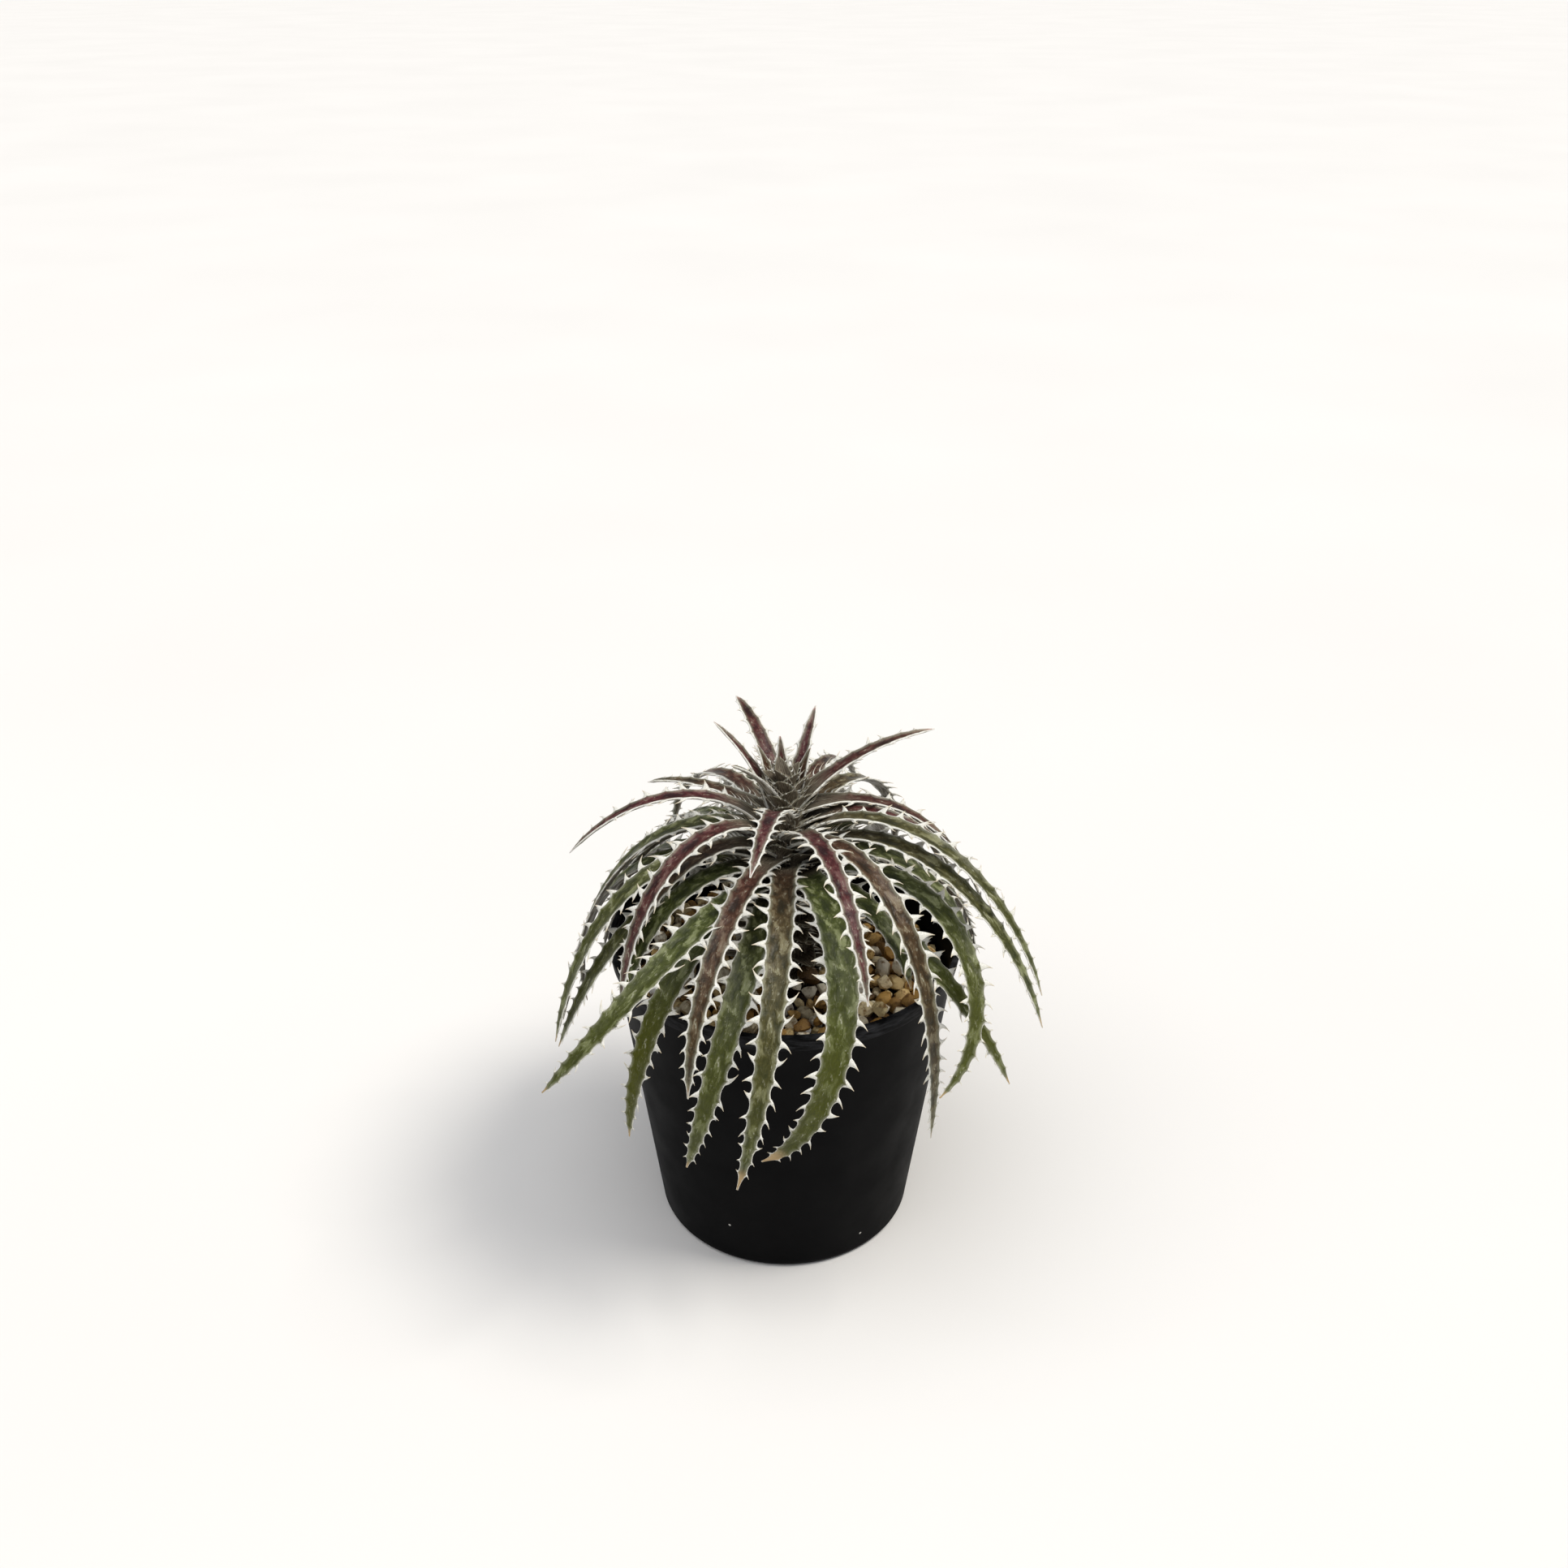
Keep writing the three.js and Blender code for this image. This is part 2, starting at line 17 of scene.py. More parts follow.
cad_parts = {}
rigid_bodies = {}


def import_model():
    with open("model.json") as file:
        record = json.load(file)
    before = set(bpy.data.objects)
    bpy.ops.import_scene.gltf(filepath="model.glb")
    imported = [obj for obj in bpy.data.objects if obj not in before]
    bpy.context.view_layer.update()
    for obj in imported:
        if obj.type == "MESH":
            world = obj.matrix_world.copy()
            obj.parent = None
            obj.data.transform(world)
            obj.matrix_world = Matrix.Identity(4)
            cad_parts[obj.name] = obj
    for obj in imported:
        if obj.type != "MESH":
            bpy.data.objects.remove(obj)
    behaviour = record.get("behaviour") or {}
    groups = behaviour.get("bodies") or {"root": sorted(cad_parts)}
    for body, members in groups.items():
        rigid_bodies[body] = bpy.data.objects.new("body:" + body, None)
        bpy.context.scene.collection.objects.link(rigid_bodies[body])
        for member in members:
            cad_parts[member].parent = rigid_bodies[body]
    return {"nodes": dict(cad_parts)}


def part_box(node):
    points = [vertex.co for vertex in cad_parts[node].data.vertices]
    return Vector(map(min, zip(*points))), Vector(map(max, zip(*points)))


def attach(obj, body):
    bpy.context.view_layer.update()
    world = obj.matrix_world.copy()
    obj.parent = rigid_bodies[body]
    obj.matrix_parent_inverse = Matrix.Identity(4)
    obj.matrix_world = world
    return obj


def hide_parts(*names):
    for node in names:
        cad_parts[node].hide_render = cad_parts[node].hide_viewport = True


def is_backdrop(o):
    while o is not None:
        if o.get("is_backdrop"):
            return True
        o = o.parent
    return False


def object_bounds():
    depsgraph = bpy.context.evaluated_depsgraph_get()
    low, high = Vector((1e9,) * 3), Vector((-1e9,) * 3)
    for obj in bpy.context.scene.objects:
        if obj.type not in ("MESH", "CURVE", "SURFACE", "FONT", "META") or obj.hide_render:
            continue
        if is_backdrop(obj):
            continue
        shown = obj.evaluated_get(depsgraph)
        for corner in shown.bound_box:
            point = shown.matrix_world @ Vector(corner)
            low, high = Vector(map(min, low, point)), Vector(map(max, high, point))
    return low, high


bl_info = {
    "name": "Potted Dyckia",
    "version": (1, 0, 0),
    "blender": (4, 5, 0),
    "location": "3D View > Sidebar > Dyckia",
    "description": "Builds a potted dyckia with scalloped, hook-spined leaves, gravel and stage",
    "category": "Add Mesh",
}

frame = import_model()
CAD_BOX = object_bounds()

MM = 0.001
BODY = "root"

# The pot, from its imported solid: height and rim from its box, the rest as it is moulded.
POT_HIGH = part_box("pot")[1]
POT_HEIGHT = POT_HIGH.z / MM
POT_RIM_RADIUS = POT_HIGH.x / MM
POT_BASE_RADIUS = 47
POT_WALL = 1.9
POT_FLOOR = 2.4
RIM_WIDTH = 2.3
RIM_ROUND = 0.8
RIM_BAND_HEIGHT = 6
RIM_BAND_STEP = 1.1
BASE_CORNER = 3
BASE_RECESS = 0.6
DRAIN_HOLES = 8
DRAIN_RADIUS = 4
DRAIN_CIRCLE = 30
DRAIN_SIDES = 28
POT_SIDES = 160
POT_EDGE = 40

# The section under the rim band: the fillet against the wall, the band's rounded corner, how
# far both lie under the band's height, and where the rings of the plain wall start over the
# base and stop under the band.
BAND_FILLET = 0.5
BAND_CORNER = 0.6
BAND_DROP = 0.2
WALL_START = 12
WALL_STOP = 1.6
WALL_RINGS = 9

# The bed that the gravel lies on: its height by the wall, how much it rises to the stem, and
# from how far out.
GRAVEL_FLOOR = 95.5
HEAP_RISE = 8
HEAP_REACH = 34

# How the stones settle: where they are dropped, as reaches from the axis and a height over the
# bed, how far they sink a step, how close they come before they push, and how hard. A stone's
# middle stays over the bed by a share of its radius. Small stones are commoner, by a power.
DROP_REACHES = (17, 56)
DROP_HEIGHT = 30
SETTLE_STEPS = 260
SINK_STEP = 0.12
TOUCH_SHARE = 0.97
PUSH_SHARE = 0.42
SEATED_SHARE = 0.6
SMALLER_POWER = 1.2

# A stone's shape: flats cut from a ball at depths from its middle, dents, and its proportions.
STONE_KINDS = 12
STONE_EDGE = 32
STONE_CUTS = 9
CUT_DEPTHS = (0.56, 0.78)
STONE_DENTS = (0.96, 1.04)
STONE_PROPORTIONS = (1.22, 1.0, 0.82)
STONE_VARIETY = (0.92, 1.08)
STONE_TILT = 0.6

# The stem, as radius and height from its foot in the mix to its top in the leaves' heart.
STEM_PROFILE = [
    (9, 84),
    (11, 100),
    (12, 112),
    (12.2, 122),
    (11.4, 132),
    (9.6, 146),
    (7.2, 160),
    (4.4, 172),
    (1.6, 177),
]
STEM_SIDES = 48
STEM_RINGS = 60
STEM_CAP = 0.8
STEM_INSIDE = 3.0
GOLDEN_ANGLE = math.pi * (3 - math.sqrt(5))

# The old leaf bases that clothe it, from the lowest to the highest: their heights, widths,
# lengths and slopes in degrees. They crowd upwards by a power, and their backs lie in the stem.
SHEATH_COUNT = 110
SHEATH_HEIGHTS = (97, 174)
SHEATH_WIDTHS = (14, 7)
SHEATH_TALLS = (12, 9)
SHEATH_SLOPES = (52, 12)
SHEATH_CROWDING = 0.9
SHEATH_SINK = 0.8
SHEATH_LEAN = 16
SHEATH_GRID = 8
SHEATH_CURL = 0.3
SHEATH_KEEL = 0.36
SHEATH_THICKNESS = 0.11
SHEATH_HOOKS = (0.2, 0.42, 0.62, 0.8)
SHEATH_HOOK_SHARE = 0.26

# The blades and their spines, as the solids have them. A leaf's foot stands off the stem by
# the seat gap, and a steep one by its own thickness too.
SEAT_GAP = 0.3
STEEP_RISE = 70
LEAF_EDGE = 0.9
LEAF_KEEL = 2
THINNEST = 0.6
THINNING = 0.62
EDGE_LIFT = 0.16
NECK_SHARE = 0.8
NECK_LENGTH = 0.12
TAPER_POWER = 2.6
TAPER_ROUNDNESS = 0.75
BARE_FOOT = 13
COURSE_STEPS = 24
SPINE_LENGTH = 4.1
GROWN_LENGTH = 80
SPINE_PITCH = 7
SPINE_TIP_PITCH = 3.6
CROWDING_POWER = 3
BACKWARD_SHARE = 0.2
SPINE_PLACES = (0.62, 0.82)
SPINE_LENGTHS = (0.85, 1.15)
SPINE_RISES = (0.1, 0.35)

# Seeds of the draws for each leaf, to which its number is added.
SPINE_SEED = 100
BLISTER_SEED = 300
FORM_SEED = 500
HOOK_SEED = 700

# What the fine blades add. The foot runs into the stem and broadens to clasp it. Between two
# spines the margin is bitten out in a round arc, which rises beside each spine to a share of
# its length and leans with it.
SECTION_STEP = 0.75
FOOT_IN_STEM = 3.5
CLASP_LENGTH = 18
CLASP_SHARE = 0.8
MARGIN_WIDTH = 0.35
BITE_SHARE = 0.6
BITE_LEAN = 0.45
FIRST_BITE = 6
FOOT_HOOK_START = 2.0
FOOT_HOOK_PITCH = 2.2
FOOT_HOOK_LENGTH = 3.4
HOOK_RISES = (0.15, 0.65)
HOOK_LENGTHS = (0.7, 1.2)
HOOK_SPACINGS = (0.8, 1.2)
TIP_SETBACK = 0.4

# The fine section: how its hollow top and its keel curve, as powers, how high the middle of
# the top lies, the bead inside the margin by its height, place and width, and how far the
# margin turns up. Blisters are waves of some lengths, higher on the top than below.
TOP_POWER = 1.8
KEEL_POWER = 1.7
TOP_MIDDLE = 0.15
BEAD = (0.14, 0.93, 0.07)
MARGIN_RISE = 0.22
BLISTER_COUNT = 7
BLISTER_LENGTHS = (3.5, 12)
BLISTERS_ABOVE = 0.35
BLISTERS_BELOW = 0.15

# A spine that would come nearer than the gap to a neighbouring blade is stunted to a share of
# its length. Blades are looked for within the reach.
CROWDED_REACH = 12
CROWDED_GAP = 0.3
STUNTED_SHARE = 0.55

# The forms of a spine: half its width, half its thickness, how far its point reaches ahead
# and how far it bows, as shares of its length. The last is the thin hook of the leaf foot.
# Vigour is how much longer than by their rule they grow on the arch and on the hanging end,
# and fades from one to the other over a stretch of the leaf. Each leans about its own three
# axes by shares of the lean that the settings give.
SPINE_FORMS = (
    (0.42, 0.1, 0.45, 0.08),
    (0.4, 0.1, 0.22, 0.02),
    (0.36, 0.1, 0.7, -0.04),
    (0.17, 0.11, 1.05, -0.5),
)
FOOT_HOOK_FORM = len(SPINE_FORMS) - 1
SPINE_ROOT = -0.05
SPINE_VIGOUR = (1.28, 0.94)
VIGOUR_FADES = (0.35, 0.8)
LEAN_SHARES = (1, 0.6, 1)
SPINE_TAPER = 1.45
SPINE_BLUNTNESS = 0.035
SPINE_RINGS = 6
SPINE_SIDES = 8
SPINE_TREE = "spined leaf"

Leaf = namedtuple("Leaf", "azimuth foot rise droop early sway length width age")

# The leaves, by where they spring from the stem. Angles are in degrees: azimuth is 0 towards
# +X and 270 towards the front, rise is the slope at the foot, droop is how far the leaf bends
# down in all, early is the early share of that, sway is how far it bends sideways. Age runs
# from 0 for a maroon heart leaf to 1 for an old green one, and a leaf is old from OLD_AGE on.
OLD_AGE = 0.5
LEAVES = [
    # The heart: short upright leaves.
    Leaf(116, 168, 65, 70, 0.25, -10, 50, 5.5, 0),
    Leaf(162, 167, 75, 40, 0.25, -5, 35, 4, 0.05),
    Leaf(216, 170, 65, 35, 0.25, 5, 27, 4, 0.3),
    Leaf(62, 165, 80, 45, 0.5, 10, 36, 4.5, 0),
    Leaf(16, 167, 45, 45, 0, 5, 57, 6, 0),
    Leaf(100, 171, 84, 20, 0.25, 0, 18, 2.6, 0),
    Leaf(40, 169, 80, 20, 0.25, 0, 17, 3, 0.2),
    Leaf(68, 158, 35, 90, 0.25, 0, 80, 5.5, 0.2),
    Leaf(150, 171, 80, 20, 0.25, 0, 17, 3, 0.2),
    # The young maroon leaves above the middle of the rosette.
    Leaf(146, 160, 20, 50, 0.25, -20, 65, 5, 0.25),
    Leaf(185, 158, 56, 106, 0.5, -9, 82, 6, 0),
    Leaf(218, 156, 55, 135, 0.75, 5, 100, 6.8, 0.05),
    Leaf(214, 150, 45, 120, 0.5, 0, 82, 7.2, 0.4),
    Leaf(262, 162, 55, 75, 0.25, -5, 68, 6, 0),
    Leaf(248, 148.8, 22, 105, 0, 0, 105, 7.2, 0.1),
    Leaf(288, 157, 45, 115, 0, 0, 95, 6, 0),
    Leaf(309, 153, 50, 145, 1, 5, 145, 7, 0.3),
    Leaf(354, 160, 35, 90, 0.5, 5, 72, 6, 0.05),
    Leaf(332, 156.5, 50, 120, 0.5, 0, 120, 6, 0.55),
    Leaf(328, 150, 50, 120, 0.5, 0, 123, 7, 0.6),
    Leaf(28, 157, 25, 95, 0.75, 0, 95, 6.5, 0.2),
    Leaf(6, 164, 25, 95, 0.5, 0, 90, 6, 0.15),
    Leaf(159, 150, 25, 105, 0.75, 0, 105, 7, 0.5),
    # The older green leaves, from the front round by the right.
    Leaf(258, 134.5, 25, 120, 0, -25, 120, 9.6, 0.9),
    Leaf(269, 146, 30, 115, 0.25, -20, 135, 8.2, 0.75),
    Leaf(289, 142.5, 35, 147, 0, -61, 141, 10.8, 1),
    Leaf(241, 139, 26, 88, 0, -47, 125, 9.5, 0.9),
    Leaf(235, 131, 35, 124, 0.25, -5, 114, 9.5, 1),
    Leaf(330, 140, 40, 120, 0.25, -80, 125, 8.5, 0.95),
    Leaf(347, 146.5, 34, 113, 0.4, 0, 86, 8, 0.9),
    Leaf(314, 131, 35, 105, 0.25, 20, 110, 8, 1),
    Leaf(172, 154.5, 25, 104, 1, 14, 128, 8, 0.85),
    Leaf(204, 146, 45, 122, 0.75, 0, 117, 8, 0.8),
    Leaf(209, 137.5, 40, 112, 0.75, -15, 108, 8, 0.7),
    Leaf(216, 142, 37, 121, 0.25, 5, 86, 8, 0.95),
    Leaf(310, 136.5, 42, 111, -0.15, -3, 68, 8, 0.95),
    # The leaves that arch over the back.
    Leaf(94, 154, 44, 114, 0.25, 0, 95, 6.5, 0.15),
    Leaf(126, 156, 37, 112, 0.25, -2, 90, 6.5, 0.2),
    Leaf(53, 153.5, 38, 125, 0.25, 5, 100, 7, 0.4),
    Leaf(106, 147, 35, 125, 0.25, -5, 130, 8, 0.8),
    Leaf(148, 145, 28, 124, 0.5, 0, 125, 8, 0.85),
    Leaf(74, 144, 35, 125, 0.25, 5, 125, 8.5, 0.8),
    Leaf(39, 141.5, 35, 121, 0.25, -5, 106, 8.5, 0.9),
    Leaf(128, 140, 28, 125, 0.25, 5, 130, 8.5, 0.95),
    Leaf(98, 137, 30, 125, 0.25, 0, 125, 8.5, 1),
    Leaf(62, 135, 30, 125, 0.25, -5, 130, 8.5, 1),
    Leaf(167, 137, 29, 129, 0.25, 5, 115, 8.5, 0.95),
    Leaf(9, 138.5, 31, 133, 0.25, 0, 105, 8.5, 1),
    Leaf(142, 131, 25, 120, 0.25, -5, 130, 9, 1),
    Leaf(33, 130, 25, 120, 0.25, 5, 125, 9, 1),
]

# How a leaf's colour runs along it. Blush is the maroon at the foot and at the tip, gold the
# yellowing at the tip, dry the length of the withered tip.
Look = namedtuple("Look", "blush_foot blush_tip gold dry")

# The rule for the others: a withered tip is this long, or this share of a short leaf, and the
# brown foot is this long on a young leaf, shorter on an old one.
DRY_TIP = 4
DRY_SHARE = 0.08
BROWN_FOOT = 25
BROWN_SHARE = 0.3
CHALK_REACH = 0.45
CHALK_WORN = 0.35

# The leaves whose colours differ from what their age gives, by number.
SPECIAL_LOOKS = {
    1: Look(1, 0.9, 0, 5),
    5: Look(1, 0.8, 0, 5),
    13: Look(0.75, 0.55, 0, 3),
    15: Look(1, 0.5, 0.1, 5),
    17: Look(0.85, 0.4, 0.1, 4),
    20: Look(0.6, 0, 0.1, 5),
    25: Look(0.85, 0, 0.35, 9),
    26: Look(0, 0, 0.75, 13),
    27: Look(0, 0, 0.45, 4),
    28: Look(0, 0, 1, 4),
    30: Look(0.1, 0, 0, 5),
    35: Look(0, 0, 0.05, 4),
    36: Look(0, 0, 0.05, 4),
}


# ---------------------------------------------------------------------------------------
# Small helpers
# ---------------------------------------------------------------------------------------


def linear(hex_colour):
    """An sRGB hex colour as linear RGBA."""
    channels = [int(hex_colour[i : i + 2], 16) / 255 for i in (1, 3, 5)]
    return tuple(c / 12.92 if c <= 0.04045 else ((c + 0.055) / 1.055) ** 2.4 for c in channels) + (1.0,)


def grain(size):
    """The texture scale, in metres, that gives a pattern of a size in millimetres."""
    return 1 / (size * MM)


def smooth_step(low, high, value):
    """An eased step from 0 to 1 between two values."""
    share = np.clip((value - low) / (high - low), 0, 1)
    return share * share * (3 - 2 * share)


def mix_numbers(low, high, share):
    """The number at a share of the way between two."""
    return low + (high - low) * share


def add_node(tree, kind, sockets=None, output=None, stops=None, **settings):
    """Adds a node with its settings, and feeds its sockets, by name or identifier: another
    node's output is linked, anything else becomes the socket's own value. Returns the named
    output, or the first one in use."""
    node = tree.nodes.new(kind)
    for name, value in settings.items():
        setattr(node, name, value)
    for place, colour in stops or ():
        ramp = node.color_ramp.elements
        element = ramp[0] if place == stops[0][0] else ramp.new(place)
        element.position = place
        element.color = linear(colour)
    if stops:
        node.color_ramp.elements.remove(node.color_ramp.elements[-1])
    for name, value in (sockets or {}).items():
        wanted = [s for s in node.inputs if s.enabled and name in (s.identifier, s.name)]
        for source in value if isinstance(value, list) else [value]:
            if isinstance(source, bpy.types.NodeSocket):
                tree.links.new(source, wanted[0])
            else:
                wanted[0].default_value = source
    in_use = [s for s in node.outputs if s.enabled and output in (None, s.name)]
    return in_use[0] if in_use else node


def random_stream(seed):
    """A repeatable stream of numbers from 0 to 1, the one that the solids are drawn with."""
    mask = 0xFFFFFFFF
    state = seed & mask
    while True:
        state = (state + 0x6D2B79F5) & mask
        mixed = ((state ^ (state >> 15)) * (state | 1)) & mask
        mixed ^= (mixed + (mixed ^ (mixed >> 7)) * (mixed | 61)) & mask
        yield (mixed ^ (mixed >> 14)) / 4294967296


def mesh_object(name, points, faces, materials=()):
    """A linked, smooth-shaded mesh object from points in millimetres."""
    mesh = bpy.data.meshes.new(name)
    mesh.from_pydata((np.asarray(points, float) * MM).tolist(), [], faces)
    mesh.shade_smooth()
    for material in materials:
        mesh.materials.append(material)
    piece = bpy.data.objects.new(name, mesh)
    bpy.context.scene.collection.objects.link(piece)
    return piece


def set_attribute(mesh, name, kind, values):
    """Stores one value a vertex as a named attribute."""
    key = "vector" if kind == "FLOAT_VECTOR" else "value"
    attribute = mesh.attributes.new(name, kind, "POINT")
    attribute.data.foreach_set(key, np.asarray(values, np.float32).ravel())


def lathe(profile, sides):
    """Points and faces of a closed solid of revolution about +Z. The profile is given as
    (radius, height), from the axis below round to the axis above."""
    angles = np.arange(sides) * 2 * math.pi / sides
    points = []
    rings = []
    for radius, height in profile:
        count = 1 if radius == 0 else sides
        rings.append((len(points), count))
        points += [(radius * math.cos(a), radius * math.sin(a), height) for a in angles[:count]]
    faces = []
    for (low, low_count), (high, high_count) in zip(rings, rings[1:]):
        for i in range(sides):
            j = (i + 1) % sides
            corners = [low + i % low_count, low + j % low_count]
            corners += [high + j % high_count, high + i % high_count]
            faces.append(list(dict.fromkeys(corners)))
    return points, faces


def arc(centre, radius, start, end, steps):
    """Points on an arc in a profile, with its angles in degrees."""
    turns = [math.radians(mix_numbers(start, end, i / steps)) for i in range(steps + 1)]
    return [(centre[0] + radius * math.cos(a), centre[1] + radius * math.sin(a)) for a in turns]


def geometry_tree(name, sockets, fields):
    """A new geometry tree with its named inputs, given as name to socket type, and the point
    attributes that it reads, given as name to data type."""
    tree = bpy.data.node_groups.new(name, "GeometryNodeTree")
    tree.interface.new_socket("Geometry", in_out="INPUT", socket_type="NodeSocketGeometry")
    tree.interface.new_socket("Geometry", in_out="OUTPUT", socket_type="NodeSocketGeometry")
    for label, kind in sockets.items():
        tree.interface.new_socket(label, in_out="INPUT", socket_type=kind)
    given = tree.nodes.new("NodeGroupInput")
    field = {
        label: add_node(tree, "GeometryNodeInputNamedAttribute", {"Name": label}, data_type=kind)
        for label, kind in fields.items()
    }
    return tree, {socket.name: socket for socket in given.outputs if socket.name}, field


def run_tree(piece, tree, values):
    """Runs a geometry tree on a piece, with its inputs set by identifier, and keeps what it
    makes as the piece's plain mesh."""
    modifier = piece.modifiers.new(tree.name, "NODES")
    modifier.node_group = tree
    for item in tree.interface.items_tree:
        if item.item_type == "SOCKET" and item.in_out == "INPUT" and item.name in values:
            modifier[item.identifier] = values[item.name]
    bpy.context.view_layer.update()
    evaluated = piece.evaluated_get(bpy.context.evaluated_depsgraph_get())
    made = bpy.data.meshes.new_from_object(evaluated)
    piece.modifiers.remove(modifier)
    old = piece.data
    piece.data = made
    made.name = piece.name
    bpy.data.meshes.remove(old)


def remove_helpers(*helpers):
    """Removes objects that only helped to make a piece, with their meshes."""
    for helper in helpers:
        mesh = helper.data
        bpy.data.objects.remove(helper)
        bpy.data.meshes.remove(mesh)


def hidden_set(name, shapes):
    """Gathers shapes that are only there to be repeated in a collection outside the scene."""
    kept = bpy.data.collections.new(name)
    for shape in shapes:
        kept.objects.link(shape)
        bpy.context.scene.collection.objects.unlink(shape)
    return kept


def remove_set(kept):
    """Removes a hidden set and the shapes in it."""
    remove_helpers(*kept.objects)
    bpy.data.collections.remove(kept)


def stand_by(tree, along, axis, facing, turn):
    """The rotation that points a shape's +Y along one direction of its site, turns another of
    its axes to face a second, and then adds a small turn of its own."""
    upright = add_node(tree, "FunctionNodeAlignRotationToVector", {"Vector": along}, axis="Y")
    turned = add_node(
        tree, "FunctionNodeAlignRotationToVector", {"Rotation": upright, "Vector": facing}, axis=axis,
        pivot_axis="Y",
    )
    return add_node(
        tree, "FunctionNodeRotateRotation", {"Rotation": turned, "Rotate By": turn},
        rotation_space="LOCAL",
    )


def close_tree(tree, given, placed, *joined):
    """Ends a geometry tree: makes what was placed real, joins it to what it stands on, and
    gives all of it the material."""
    made = add_node(tree, "GeometryNodeRealizeInstances", {"Geometry": placed})
    if joined:
        made = add_node(tree, "GeometryNodeJoinGeometry", {"Geometry": [*joined, made]})
    dressed = add_node(tree, "GeometryNodeSetMaterial", {"Geometry": made, "Material": given["Material"]})
    add_node(tree, "NodeGroupOutput", {"Geometry": dressed})


def hand_over(piece, slot, *nodes):
    """Rides the finished piece on the plant's body, in place of the solids it stands for."""
    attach(piece, BODY)
    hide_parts(*nodes)


# ---------------------------------------------------------------------------------------
# Materials
# ---------------------------------------------------------------------------------------


def new_material(name):
    """A material and its emptied node tree."""
    material = bpy.data.materials.new(name)
    material.use_nodes = True
    material.node_tree.nodes.clear()
    return material, material.node_tree


def finish_material(tree, sockets):
    """Ends a material with its shader, whose sockets are given, and the output."""
    surface = add_node(tree, "ShaderNodeBsdfPrincipled", sockets)
    add_node(tree, "ShaderNodeOutputMaterial", {"Surface": surface})


def rim_dust(tree, place):
    """Where dust lies on the pot: on the rim band alone, in swirls that a hand has wiped."""
    height = add_node(tree, "ShaderNodeSeparateXYZ", {"Vector": place}, output="Z")
    rim = add_node(
        tree, "ShaderNodeMapRange",
        {
            "Value": height, "From Min": (POT_HEIGHT - RIM_BAND_HEIGHT - 0.5) * MM,
            "From Max": (POT_HEIGHT - RIM_BAND_HEIGHT + 1.5) * MM,
        },
    )
    swirl = add_node(tree, "ShaderNodeMapping", {"Vector": place, "Scale": (1.0, 1.0, 6.0)})
    wiped = add_node(
        tree, "ShaderNodeTexNoise", {"Vector": swirl, "Scale": grain(9), "Detail": 5.0, "Roughness": 0.65}
    )
    wiped = add_node(tree, "ShaderNodeMapRange", {"Value": wiped, "From Min": 0.42, "From Max": 0.72})
    return add_node(tree, "ShaderNodeMath", {"Value": rim, "Value_001": wiped}, operation="MULTIPLY")


def pot_plastic(settings):
    """Injection-moulded black polypropylene: a satin skin with a fine orange peel, greyed by
    dust and handling on the rim, with a few pale splashes of dried mineral."""
    material, tree = new_material("Moulded black polypropylene")
    place = add_node(tree, "ShaderNodeTexCoord", output="Object")
    cloud = add_node(tree, "ShaderNodeTexNoise", {"Vector": place, "Scale": grain(14), "Detail": 4.0})
    body = add_node(
        tree, "ShaderNodeMix",
        {"Factor": cloud, "A_Color": tuple(settings.plastic), "B_Color": linear("#070708")},
        data_type="RGBA",
    )
    dusty = add_node(
        tree, "ShaderNodeMix",
        {"Factor": rim_dust(tree, place), "A_Color": body, "B_Color": tuple(settings.dust)},
        data_type="RGBA",
    )
    speck = add_node(
        tree, "ShaderNodeTexVoronoi", {"Vector": place, "Scale": grain(17), "Randomness": 1.0},
        output="Distance",
    )
    speck = add_node(
        tree, "ShaderNodeMapRange",
        {"Value": speck, "From Min": 0.022, "From Max": 0.032, "To Min": 1.0, "To Max": 0.0},
    )
    specked = add_node(
        tree, "ShaderNodeMix", {"Factor": speck, "A_Color": dusty, "B_Color": linear("#b9b8b2")},
        data_type="RGBA",
    )
    roughness = add_node(
        tree, "ShaderNodeMapRange",
        {"Value": cloud, "From Min": 0.3, "From Max": 0.7, "To Min": 0.5, "To Max": 0.64},
    )
    peel = add_node(tree, "ShaderNodeTexNoise", {"Vector": place, "Scale": grain(0.9), "Detail": 2.0})
    relief = add_node(tree, "ShaderNodeBump", {"Height": peel, "Strength": 0.25, "Distance": 0.06 * MM})
    finish_material(
        tree,
        {
            "Base Color": specked, "Roughness": roughness, "IOR": 1.49, "Specular IOR Level": 0.05,
            "Normal": relief,
        },
    )
    return material


def peat_mix():
    """Peat with grit and bark fines: dark, dull and crumbly."""
    material, tree = new_material("Peat and bark mix")
    place = add_node(tree, "ShaderNodeTexCoord", output="Object")
    crumb = add_node(tree, "ShaderNodeTexNoise", {"Vector": place, "Scale": grain(2.2), "Detail": 6.0})
    colour = add_node(
        tree, "ShaderNodeValToRGB", {"Fac": crumb},
        stops=[(0.3, "#0f0b08"), (0.5, "#2a1d13"), (0.62, "#4a3523"), (0.75, "#6e563b")],
    )
    relief = add_node(tree, "ShaderNodeBump", {"Height": crumb, "Strength": 1.0, "Distance": 1.2 * MM})
    finish_material(tree, {"Base Color": colour, "Roughness": 0.95, "Normal": relief})
    return material


